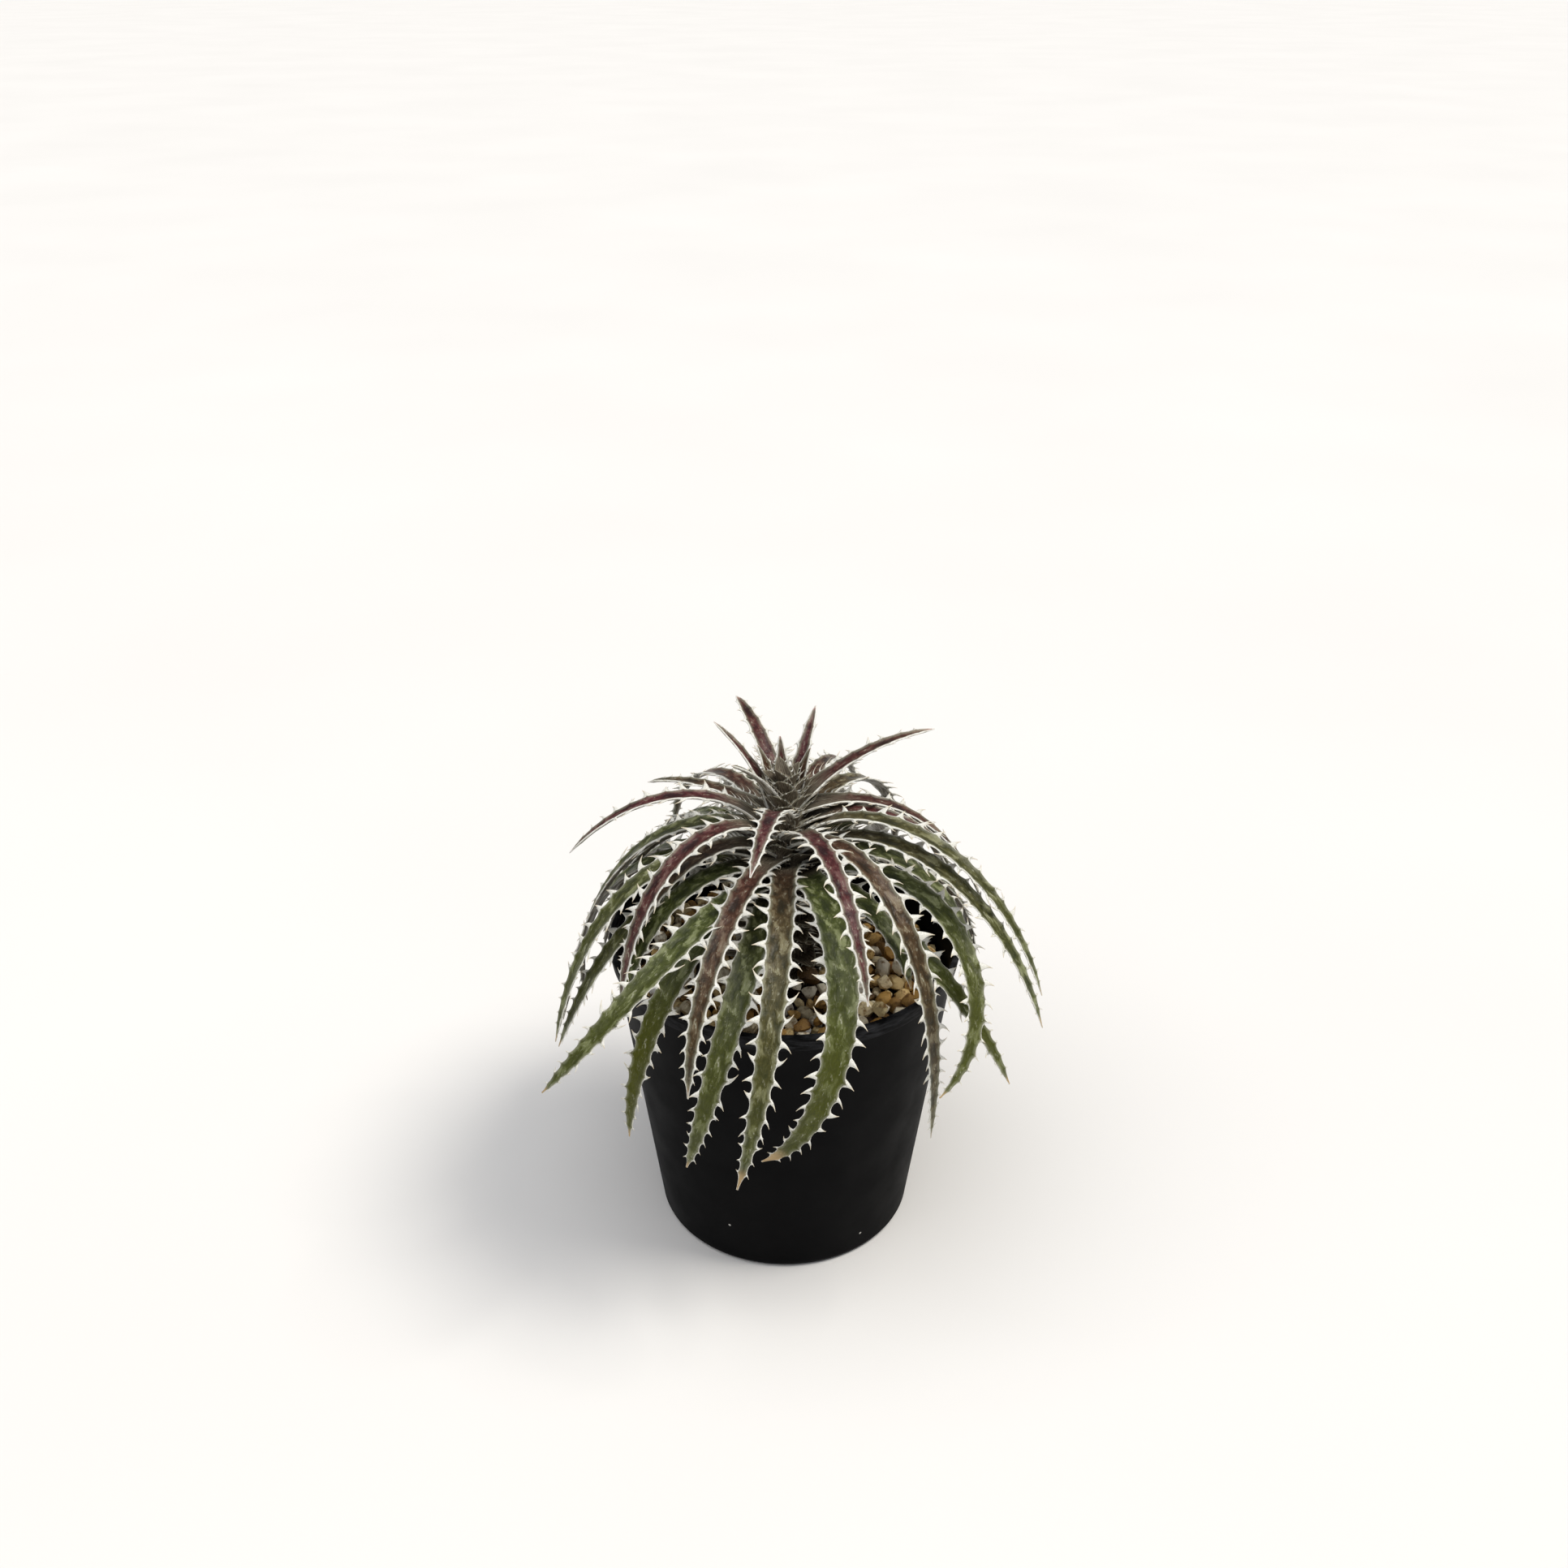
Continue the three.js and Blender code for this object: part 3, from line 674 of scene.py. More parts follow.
def river_gravel(settings):
    """Washed river gravel: each stone has its own ochre, cream or grey, with darker veins and
    a chalky, pitted skin."""
    material, tree = new_material("Washed river gravel")
    place = add_node(tree, "ShaderNodeTexCoord", output="Object")
    tint = add_node(tree, "ShaderNodeAttribute", output="Fac", attribute_name="tint")
    colour = add_node(
        tree, "ShaderNodeValToRGB", {"Fac": tint},
        stops=[
            (0.0, "#5c431f"),
            (0.12, "#93703a"),
            (0.28, "#b88d45"),
            (0.42, "#d8b674"),
            (0.56, "#e9d6a3"),
            (0.7, "#f6f0dc"),
            (0.88, "#c2b592"),
            (1.0, "#a5793a"),
        ],
    )
    stain = add_node(
        tree, "ShaderNodeTexNoise",
        {"Vector": place, "Scale": grain(2.4), "Detail": 5.0, "Roughness": 0.6},
    )
    stain = add_node(tree, "ShaderNodeMapRange", {"Value": stain, "From Min": 0.48, "From Max": 0.68})
    stained = add_node(
        tree, "ShaderNodeMix", {"Factor": stain, "A_Color": colour, "B_Color": tuple(settings.stain)},
        data_type="RGBA", blend_type="MULTIPLY",
    )
    pit = add_node(
        tree, "ShaderNodeTexNoise",
        {"Vector": place, "Scale": grain(0.7), "Detail": 4.0, "Roughness": 0.7},
    )
    relief = add_node(tree, "ShaderNodeBump", {"Height": pit, "Strength": 0.9, "Distance": 0.5 * MM})
    finish_material(tree, {"Base Color": stained, "Roughness": 0.5, "Normal": relief})
    return material


# The patterns of the leaf tissue: how far they are squeezed along the leaf, their size in
# millimetres, detail, roughness and distortion.
TISSUE_PATTERNS = {
    "mottle": (0.55, 3.6, 3.0, 0.55, 0.6),
    "fleck": (0.4, 1.0, 4.0, 0.65, 1.0),
    "fibre": (0.05, 0.4, 2.0, 0.5, 0.0),
}


def tissue_fields(tree):
    """What the tissue's masks are read from, by label: the vertex attributes, the patterns and
    the ragged distance inside the rim, in millimetres."""
    part = {}
    for label in ("blush", "gold", "dry", "bark", "under", "rim_mm", "chalk_mm", "horn"):
        part[label] = add_node(tree, "ShaderNodeAttribute", output="Fac", attribute_name=label)
    surface_map = add_node(tree, "ShaderNodeUVMap", uv_map="surface")
    for label, (squeeze, size, detail, rough, twist) in TISSUE_PATTERNS.items():
        place = add_node(tree, "ShaderNodeMapping", {"Vector": surface_map, "Scale": (1.0, squeeze, 1.0)})
        part[label] = add_node(
            tree, "ShaderNodeTexNoise",
            {
                "Vector": place, "Scale": grain(size), "Detail": detail, "Roughness": rough,
                "Distortion": twist,
            },
        )
    inwards = add_node(
        tree, "ShaderNodeMath", {"Value": part["rim_mm"], "Value_001": part["chalk_mm"]},
        operation="SUBTRACT",
    )
    part["ragged"] = add_node(
        tree, "ShaderNodeMath", {"Value": part["fleck"], "Value_001": 1.2, "Value_002": inwards},
        operation="MULTIPLY_ADD",
    )
    return part


def tissue_masks(tree, part, roughness):
    """Where each coat lies, by label, and how dull and how lumpy the skin is there."""
    # What a mask is read from, where it begins and ends, and its values there.
    masks = {
        "lit": ("mottle", 0.3, 0.6, 0.0, 1.0),
        "blotch": ("mottle", 0.52, 0.66, 0.0, 0.68),
        "veined": ("fleck", 0.3, 0.52, 0.45, 0.0),
        "dashes": ("fleck", 0.56, 0.68, 0.0, 0.8),
        "grouped": ("mottle", 0.42, 0.6, 0.12, 1.0),
        "scurf": ("ragged", 1.9, 0.8, 0.0, 0.35),
        "streaks": ("fibre", 0.4, 0.6, 0.0, 1.0),
        "shade": ("under", 0.0, 1.0, 0.0, 0.88),
        "worn": ("fleck", 0.42, 0.62, 0.0, 1.0),
        "tips": ("horn", 0.5, 1.0, 0.0, 0.75),
        "chalky": ("ragged", 0.85, 0.4, 0.0, 1.0),
        "dull": ("ragged", 0.85, 0.4, roughness, 0.78),
        "lumpy": ("ragged", 0.85, 0.4, 0.8, 0.15),
    }
    for label, (source, begin, end, low, high) in masks.items():
        part[label] = add_node(
            tree, "ShaderNodeMapRange",
            {"Value": part[source], "From Min": begin, "From Max": end, "To Min": low, "To Max": high},
            interpolation_type="SMOOTHSTEP",
        )
    part["silver"] = add_node(
        tree, "ShaderNodeMath", {"Value": part["dashes"], "Value_001": part["grouped"]},
        operation="MULTIPLY",
    )


def tissue_coats(tree, part, settings):
    """The coats of colour, by label. The last is the skin."""
    # A ground, then each mask with what it lays over the coats before.
    coats = {
        "leafy": ("#2f361e", ("lit", settings.old_colour), ("blotch", "#9ba277")),
        "green": ("leafy", ("gold", "#484b0a"), ("veined", "#2b3014")),
        "wine": ("#2a1315", ("lit", settings.young_colour), ("blotch", "#7a5b57")),
        "maroon": ("wine", ("veined", "#200d10")),
        "husk": ("#4a4236", ("streaks", "#7d7363")),
        "face": ("green", ("blush", "maroon"), ("bark", "husk"), ("silver", "#a8a893")),
        "frosted": ("face", ("scurf", "#a3a58f")),
        "below": ("#544d42", ("streaks", "#a19b8f")),
        "straw": ("#b0966c", ("blush", "#9a7670")),
        "chalk": ("#d6d5cb", ("worn", settings.spine_colour), ("tips", "#cdbb98")),
        "skin": ("frosted", ("shade", "below"), ("dry", "straw"), ("chalky", "chalk")),
    }
    for label, (ground, *layers) in coats.items():
        colour = part.get(ground) or linear(ground)
        for mask, coat in layers:
            if isinstance(coat, str):
                coat = part.get(coat) or linear(coat)
            colour = add_node(
                tree, "ShaderNodeMix", {"Factor": part[mask], "A_Color": colour, "B_Color": coat},
                data_type="RGBA",
            )
        part[label] = colour


def leaf_tissue(name, settings, roughness):
    """Succulent leaf tissue under a silver scurf of tiny scales. The face is maroon where it
    is young and green where it is old, blotched and flecked; the underside is grey and finely
    streaked; the foot is brown and the margin chalk white. Vertex attributes say where."""
    material, tree = new_material(name)
    part = tissue_fields(tree)
    tissue_masks(tree, part, roughness)
    tissue_coats(tree, part, settings)
    swell = add_node(
        tree, "ShaderNodeBump",
        {"Height": part["mottle"], "Strength": part["lumpy"], "Distance": 1.1 * MM},
    )
    relief = add_node(
        tree, "ShaderNodeBump",
        {"Height": part["fleck"], "Strength": 0.6, "Distance": 0.3 * MM, "Normal": swell},
    )
    finish_material(
        tree,
        {
            "Base Color": part["skin"], "Roughness": part["dull"], "IOR": 1.42,
            "Specular IOR Level": 0.32, "Normal": relief,
        },
    )
    return material


def pale_floor(settings):
    """A matt painted board: pale, with the faintest cloudiness."""
    material, tree = new_material("Matt white painted board")
    place = add_node(tree, "ShaderNodeTexCoord", output="Object")
    cloud = add_node(tree, "ShaderNodeTexNoise", {"Vector": place, "Scale": grain(350), "Detail": 2.0})
    colour = add_node(
        tree, "ShaderNodeMix",
        {"Factor": cloud, "A_Color": tuple(settings.floor), "B_Color": linear("#ecebe9")},
        data_type="RGBA",
    )
    finish_material(tree, {"Base Color": colour, "Roughness": 0.9})
    return material


# ---------------------------------------------------------------------------------------
# Settings
# ---------------------------------------------------------------------------------------


# How a setting's field is shown: a colour with its alpha, or a length.
COLOUR_FIELD = {"subtype": "COLOR", "size": 4, "min": 0, "max": 1}
LENGTH_FIELD = {"unit": "LENGTH", "subtype": "DISTANCE"}


class DyckiaPotSettings(bpy.types.PropertyGroup):
    plastic: bpy.props.FloatVectorProperty(
        name="Plastic", description="Colour of the moulded pot", default=linear("#030304"), **COLOUR_FIELD
    )
    dust: bpy.props.FloatVectorProperty(
        name="Dust",
        description="Colour of the dust and scuffs on the rim",
        default=linear("#36373a"),
        **COLOUR_FIELD,
    )
    sides: bpy.props.IntProperty(
        name="Sides", description="Number of sides of the round wall", min=24, max=360, default=POT_SIDES
    )


class DyckiaGravelSettings(bpy.types.PropertyGroup):
    smallest: bpy.props.FloatProperty(
        name="Smallest Stone",
        description="Radius of the smallest stones",
        default=1.7 * MM,
        **LENGTH_FIELD,
    )
    largest: bpy.props.FloatProperty(
        name="Largest Stone", description="Radius of the largest stones", default=4.1 * MM, **LENGTH_FIELD
    )
    count: bpy.props.IntProperty(
        name="Stones", description="Number of stones in the dressing", min=20, max=900, default=460
    )
    seed: bpy.props.IntProperty(
        name="Seed", description="Seed of the stones' sizes, places, shapes and colours", default=11
    )
    stain: bpy.props.FloatVectorProperty(
        name="Stain",
        description="Tint of the darker stains on the stones",
        default=linear("#8f7244"),
        **COLOUR_FIELD,
    )


class DyckiaLeafSettings(bpy.types.PropertyGroup):
    spine_length: bpy.props.FloatProperty(
        name="Spine Length",
        description="Length of the marginal spines in the middle of an old leaf",
        default=SPINE_LENGTH * MM,
        **LENGTH_FIELD,
    )
    margin: bpy.props.FloatProperty(
        name="Margin",
        description="Width of the white margin at the bottom of a scallop",
        default=MARGIN_WIDTH * MM,
        **LENGTH_FIELD,
    )
    seed: bpy.props.IntProperty(
        name="Seed", description="Seed of the small differences in how the spines lean", default=5
    )
    lean: bpy.props.FloatProperty(
        name="Lean",
        description="How far a spine may lean away from its rule",
        subtype="ANGLE",
        default=math.radians(9),
    )
    young_colour: bpy.props.FloatVectorProperty(
        name="Young Leaf",
        description="Colour of the face of a young leaf",
        default=linear("#522627"),
        **COLOUR_FIELD,
    )
    old_colour: bpy.props.FloatVectorProperty(
        name="Old Leaf",
        description="Colour of the face of an old leaf",
        default=linear("#4c5429"),
        **COLOUR_FIELD,
    )
    spine_colour: bpy.props.FloatVectorProperty(
        name="Spines",
        description="Colour of the chalky margin and spines",
        default=linear("#f4f4ef"),
        **COLOUR_FIELD,
    )


class DyckiaStageSettings(bpy.types.PropertyGroup):
    floor: bpy.props.FloatVectorProperty(
        name="Floor", description="Colour of the floor", default=linear("#e4e3e1"), **COLOUR_FIELD
    )
    key: bpy.props.FloatProperty(
        name="Key Light",
        description="Strength of the harder light from the upper right",
        min=0,
        default=2.1,
    )
    softbox: bpy.props.FloatProperty(
        name="Softbox",
        description="Strength of the wide light overhead, a little to the front",
        min=0,
        default=1.6,
    )
    daylight: bpy.props.FloatProperty(
        name="Daylight", description="Strength of the even light from all round", min=0, default=0.25
    )


# ---------------------------------------------------------------------------------------
# Pot, mix and gravel
# ---------------------------------------------------------------------------------------


def pot_radius(height):
    """Radius of the pot's outer wall at a height."""
    return mix_numbers(POT_BASE_RADIUS, POT_RIM_RADIUS - RIM_BAND_STEP, height / POT_HEIGHT)


def pot_profile():
    """Half of the pot's section, from the axis below, up the outside and down the inside."""
    band = POT_HEIGHT - RIM_BAND_HEIGHT
    side = pot_radius(band)
    step = band - BAND_DROP
    corner = (pot_radius(BASE_CORNER) - BASE_CORNER, BASE_CORNER)
    inner = POT_RIM_RADIUS - RIM_WIDTH
    recess = POT_BASE_RADIUS - 3 * BASE_CORNER
    profile = [(0, BASE_RECESS), (recess, BASE_RECESS), (recess + 2 * BASE_RECESS, 0)]
    profile += arc(corner, BASE_CORNER, -90, 0, 6)
    wall = np.linspace(WALL_START, band - WALL_STOP, WALL_RINGS)
    profile += [(pot_radius(z), z) for z in wall]
    profile += arc((side + BAND_FILLET, step - BAND_FILLET), BAND_FILLET, 180, 90, 4)
    corner = (side + RIM_BAND_STEP - BAND_CORNER, step + BAND_CORNER)
    profile += arc(corner, BAND_CORNER, -90, 0, 4)
    profile += arc((POT_RIM_RADIUS - RIM_ROUND, POT_HEIGHT - RIM_ROUND), RIM_ROUND, 0, 90, 6)
    profile += arc((inner + RIM_ROUND, POT_HEIGHT - RIM_ROUND), RIM_ROUND, 90, 180, 6)
    profile += [(inner - 0.2, band + 1.5), (side - POT_WALL, band - 0.5)]
    profile += [(pot_radius(POT_FLOOR + 1) - POT_WALL, POT_FLOOR + 1)]
    profile += [(pot_radius(POT_FLOOR) - POT_WALL - 1, POT_FLOOR), (0, POT_FLOOR)]
    return profile


def drain_cutter():
    """The eight round holes through the pot's floor, as one mesh of pegs."""
    points = []
    faces = []
    for i in range(DRAIN_HOLES):
        angle = i / DRAIN_HOLES * 2 * math.pi
        centre = np.array([math.cos(angle), math.sin(angle), 0]) * DRAIN_CIRCLE
        profile = [(0, -POT_FLOOR), (DRAIN_RADIUS, -POT_FLOOR)]
        profile += [(DRAIN_RADIUS, 2 * POT_FLOOR), (0, 2 * POT_FLOOR)]
        peg, peg_faces = lathe(profile, DRAIN_SIDES)
        faces += [[len(points) + corner for corner in face] for face in peg_faces]
        points += [tuple(centre + corner) for corner in np.array(peg)]
    return mesh_object("drain_cutter", points, faces)


class DYCKIA_OT_pot(bpy.types.Operator):
    """Makes the moulded nursery pot with its rim band and drain holes"""

    bl_idname = "dyckia.pot"
    bl_label = "Pot"

    def execute(self, context):
        settings = context.scene.dyckia_pot
        piece = mesh_object("nursery_pot", *lathe(pot_profile(), settings.sides))
        piece.data.materials.append(pot_plastic(settings))
        cutter = drain_cutter()
        cut = piece.modifiers.new("drain", "BOOLEAN")
        cut.object = cutter
        cut.operation = "DIFFERENCE"
        evaluated = piece.evaluated_get(context.evaluated_depsgraph_get())
        piece.data = bpy.data.meshes.new_from_object(evaluated)
        piece.modifiers.remove(cut)
        piece.data.set_sharp_from_angle(angle=math.radians(POT_EDGE))
        remove_helpers(cutter)
        hand_over(piece, "pot", "pot")
        return {"FINISHED"}


class DYCKIA_OT_mix(bpy.types.Operator):
    """Gives the potting mix its crumbly material"""

    bl_idname = "dyckia.mix"
    bl_label = "Potting Mix"

    def execute(self, context):
        mesh = frame["nodes"]["potting_mix"].data
        mesh.materials.clear()
        mesh.materials.append(peat_mix())
        return {"FINISHED"}


def settle_stones(settings):
    """Centres and radii of stones heaped between the stem and the pot's wall. They sink on to
    a bed that rises to the stem, push each other apart and stay between the walls."""
    random = np.random.default_rng(settings.seed)
    share = random.random(settings.count) ** SMALLER_POWER
    radii = mix_numbers(settings.smallest / MM, settings.largest / MM, share)
    angle = random.random(settings.count) * 2 * math.pi
    near, far = DROP_REACHES
    reach = np.sqrt(mix_numbers(near**2, far**2, random.random(settings.count)))
    height = GRAVEL_FLOOR + random.random(settings.count) * DROP_HEIGHT
    centres = np.stack([reach * np.cos(angle), reach * np.sin(angle), height], axis=1)
    gap = radii[:, None] + radii[None, :]
    for _ in range(SETTLE_STEPS):
        centres[:, 2] -= SINK_STEP
        apart = centres[:, None, :] - centres[None, :, :]
        distance = np.linalg.norm(apart, axis=2) + np.eye(len(radii)) * 1e3
        overlap = np.clip(gap * TOUCH_SHARE - distance, 0, None)
        centres += (apart * (overlap / distance)[:, :, None]).sum(axis=1) * PUSH_SHARE
        reach = np.linalg.norm(centres[:, :2], axis=1)
        heap = HEAP_RISE * smooth_step(HEAP_REACH, STEM_PROFILE[1][0], reach)
        centres[:, 2] = np.maximum(centres[:, 2], GRAVEL_FLOOR + heap + SEATED_SHARE * radii)
        outer = np.array([pot_radius(z) for z in centres[:, 2]]) - POT_WALL - radii
        inner = np.interp(centres[:, 2], *stem_heights_and_radii()) + radii
        held = np.clip(reach, inner, outer)
        centres[:, :2] *= (held / reach)[:, None]
    return centres, radii


def stone_shapes(random):
    """A hidden set of worn stones: balls of 80 faces, cut by a few planes and dented."""
    stones = []
    for i in range(STONE_KINDS):
        mesh = bpy.data.meshes.new("stone_%d" % i)
        ball = bmesh.new()
        bmesh.ops.create_icosphere(ball, subdivisions=2, radius=1)
        planes = random.normal(size=(STONE_CUTS, 3))
        planes /= np.linalg.norm(planes, axis=1)[:, None]
        depths = mix_numbers(*CUT_DEPTHS, random.random(STONE_CUTS))
        stretch = STONE_PROPORTIONS * mix_numbers(*STONE_VARIETY, random.random(3))
        for corner in ball.verts:
            spot = np.array(corner.co) * mix_numbers(*STONE_DENTS, random.random())
            for plane, depth in zip(planes, depths):
                beyond = spot @ plane - depth
                spot = spot - plane * max(beyond, 0)
            corner.co = spot * stretch
        ball.to_mesh(mesh)
        ball.free()
        mesh.shade_smooth()
        mesh.set_sharp_from_angle(angle=math.radians(STONE_EDGE))
        stones.append(bpy.data.objects.new("stone_%d" % i, mesh))
        bpy.context.scene.collection.objects.link(stones[-1])
    return hidden_set("stone_shapes", stones)


def gravel_tree():
    """Sets one of the stone shapes on each point, turned and sized by its own draws."""
    inputs = {"Stones": "NodeSocketCollection", "Seed": "NodeSocketInt", "Material": "NodeSocketMaterial"}
    tree, given, field = geometry_tree("gravel dressing", inputs, {"size": "FLOAT"})
    stones = add_node(
        tree, "GeometryNodeCollectionInfo",
        {"Collection": given["Stones"], "Separate Children": True, "Reset Children": True},
    )
    kind = add_node(
        tree, "FunctionNodeRandomValue",
        {"Min_002": 0, "Max_002": STONE_KINDS - 1, "Seed": given["Seed"]}, data_type="INT",
    )
    turn = add_node(
        tree, "FunctionNodeRandomValue",
        {
            "Min": (-STONE_TILT, -STONE_TILT, 0.0), "Max": (STONE_TILT, STONE_TILT, math.tau),
            "Seed": given["Seed"],
        },
        data_type="FLOAT_VECTOR",
    )
    placed = add_node(
        tree, "GeometryNodeInstanceOnPoints",
        {
            "Points": given["Geometry"], "Instance": stones, "Pick Instance": True,
            "Instance Index": kind, "Rotation": turn, "Scale": field["size"],
        },
    )
    tint = add_node(
        tree, "FunctionNodeRandomValue", {"Min_001": 0.0, "Max_001": 1.0, "Seed": given["Seed"]},
        data_type="FLOAT",
    )
    tinted = add_node(
        tree, "GeometryNodeStoreNamedAttribute", {"Geometry": placed, "Name": "tint", "Value": tint},
        data_type="FLOAT", domain="INSTANCE",
    )
    close_tree(tree, given, tinted)
    return tree


class DYCKIA_OT_gravel(bpy.types.Operator):
    """Makes the dressing of gravel, stone by stone"""

    bl_idname = "dyckia.gravel"
    bl_label = "Gravel"

    def execute(self, context):
        settings = context.scene.dyckia_gravel
        centres, radii = settle_stones(settings)
        piece = mesh_object("gravel_dressing", centres, [])
        set_attribute(piece.data, "size", "FLOAT", radii * MM)
        shapes = stone_shapes(np.random.default_rng(settings.seed + 1))
        values = {"Stones": shapes, "Seed": settings.seed, "Material": river_gravel(settings)}
        run_tree(piece, gravel_tree(), values)
        remove_set(shapes)
        hand_over(piece, "gravel", "gravel")
        return {"FINISHED"}


# ---------------------------------------------------------------------------------------
# Stem
# ---------------------------------------------------------------------------------------


def stem_heights_and_radii():
    """The stem's profile as its heights and its radii."""
    radii, heights = zip(*STEM_PROFILE)
    return heights, radii


def stem_radius(height):
    """Radius of the stem at a height, from its profile."""
    return float(np.interp(height, *stem_heights_and_radii()))


def sheath_half(v):
    """Half the width of a leaf base at a share of its height."""
    return 0.5 * (1 - 0.25 * v - 0.6 * v**3)


def sheath_point(v, across):
    """A point on the back of a leaf base, which curls outwards and is keeled."""
    return across, v, SHEATH_CURL * v**2 - SHEATH_KEEL * (across * 2) ** 2


def sheath_mesh(name):
    """An old leaf base that clasps the stem: a broad, keeled scale that narrows upwards. It is
    one high and one wide, its back at the origin and its tip towards +Y."""
    cells = SHEATH_GRID
    points = []
    inside = []
    for row in range(cells + 1):
        v = row / cells
        half = sheath_half(v)
        for column in range(cells + 1):
            u = column / cells * 2 - 1
            points.append(sheath_point(v, u * half))
            inside.append((1 - abs(u)) * half * SHEATH_WIDTHS[0])
    top = len(points)
    points += [(x, y, z - SHEATH_THICKNESS * (1.2 - y)) for x, y, z in points]
    faces = []
    wide = cells + 1
    for row in range(cells):
        for column in range(cells):
            a = row * wide + column
            quad = [a, a + 1, a + 1 + wide, a + wide]
            faces.append(quad)
            faces.append([corner + top for corner in reversed(quad)])
    rim = list(range(cells)) + [cells + wide * r for r in range(cells)]
    rim += [cells * wide + cells - c for c in range(cells)]
    rim += [(cells - r) * wide for r in range(cells)]
    for a, b in zip(rim, rim[1:] + rim[:1]):
        faces.append([b, a, a + top, b + top])
    points = np.array(points)
    shape = mesh_object(name, points / MM, faces)
    clothe_base(shape, points[:, :2] * SHEATH_WIDTHS[0], inside * 2)
    return shape


def sheath_hooks():
    """The sites of the hooks on a leaf base's margins."""
    hooks = []
    for v in SHEATH_HOOKS:
        for hand in (1, -1):
            base = np.array(sheath_point(v, hand * sheath_half(v))) / MM
            out = np.array([hand, 0.25, 0.3])
            ahead = np.array([0.0, 1.0, 0.4])
            length = SHEATH_HOOK_SHARE * (1.2 - 0.5 * v) / MM
            hooks.append(Spine(v, hand, base, out, ahead, length, 0, FOOT_HOOK_FORM))
    return hooks


def clothe_base(piece, flat, inside):
    """Gives a piece the surface map and the shading of an old leaf base."""
    map_surface(piece.data, flat)
    full = np.ones(len(flat))
    shades = {"bark": full, "chalk_mm": -0.2 * full, "rim_mm": np.asarray(inside), "under": 0 * full}
    for label, values in shades.items():
        set_attribute(piece.data, label, "FLOAT", values)


def sheath_tree():
    """Stands a scale on each site of the stem, its back outwards, and joins them to it."""
    inputs = {
        "Sites": "NodeSocketObject",
        "Scale Shape": "NodeSocketObject",
        "Lean": "NodeSocketFloat",
        "Seed": "NodeSocketInt",
        "Material": "NodeSocketMaterial",
    }
    fields = {"up": "FLOAT_VECTOR", "out": "FLOAT_VECTOR", "size": "FLOAT_VECTOR"}
    tree, given, field = geometry_tree("leaf sheaths", inputs, fields)
    shape = add_node(tree, "GeometryNodeObjectInfo", {"Object": given["Scale Shape"]}, output="Geometry")
    low = add_node(
        tree, "ShaderNodeMath", {"Value": given["Lean"], "Value_001": -1.0}, operation="MULTIPLY"
    )
    sway = add_node(
        tree, "FunctionNodeRandomValue",
        {"Min_001": low, "Max_001": given["Lean"], "Seed": given["Seed"]}, data_type="FLOAT",
    )
    swing = add_node(tree, "FunctionNodeAxisAngleToRotation", {"Axis": (0, 0, 1), "Angle": sway})
    swung = stand_by(tree, field["up"], "Z", field["out"], swing)
    sites = add_node(tree, "GeometryNodeObjectInfo", {"Object": given["Sites"]}, output="Geometry")
    placed = add_node(
        tree, "GeometryNodeInstanceOnPoints",
        {"Points": sites, "Instance": shape, "Rotation": swung, "Scale": field["size"]},
    )
    close_tree(tree, given, placed, given["Geometry"])
    return tree


def sheath_sites():
    """Points on a golden spiral up the stem that carry how each leaf base stands. The bases
    are smaller and stand more upright towards the top."""
    points = []
    ups = []
    outs = []
    sizes = []
    for i in range(SHEATH_COUNT):
        share = i / (SHEATH_COUNT - 1)
        height = mix_numbers(*SHEATH_HEIGHTS, share**SHEATH_CROWDING)
        angle = i * GOLDEN_ANGLE
        slope = math.radians(mix_numbers(*SHEATH_SLOPES, share))
        outward = Vector((math.cos(angle), math.sin(angle), 0))
        points.append(outward * (stem_radius(height) - SHEATH_SINK) + Vector((0, 0, height)))
        ups.append(outward * math.sin(slope) + Vector((0, 0, math.cos(slope))))
        outs.append(outward * math.cos(slope) - Vector((0, 0, math.sin(slope))))
        wide = mix_numbers(*SHEATH_WIDTHS, share)
        tall = mix_numbers(*SHEATH_TALLS, share)
        sizes.append((wide * MM, tall * MM, wide * MM))
    sites = mesh_object("sheath_sites", points, [])
    set_attribute(sites.data, "up", "FLOAT_VECTOR", ups)
    set_attribute(sites.data, "out", "FLOAT_VECTOR", outs)
    set_attribute(sites.data, "size", "FLOAT_VECTOR", sizes)
    return sites


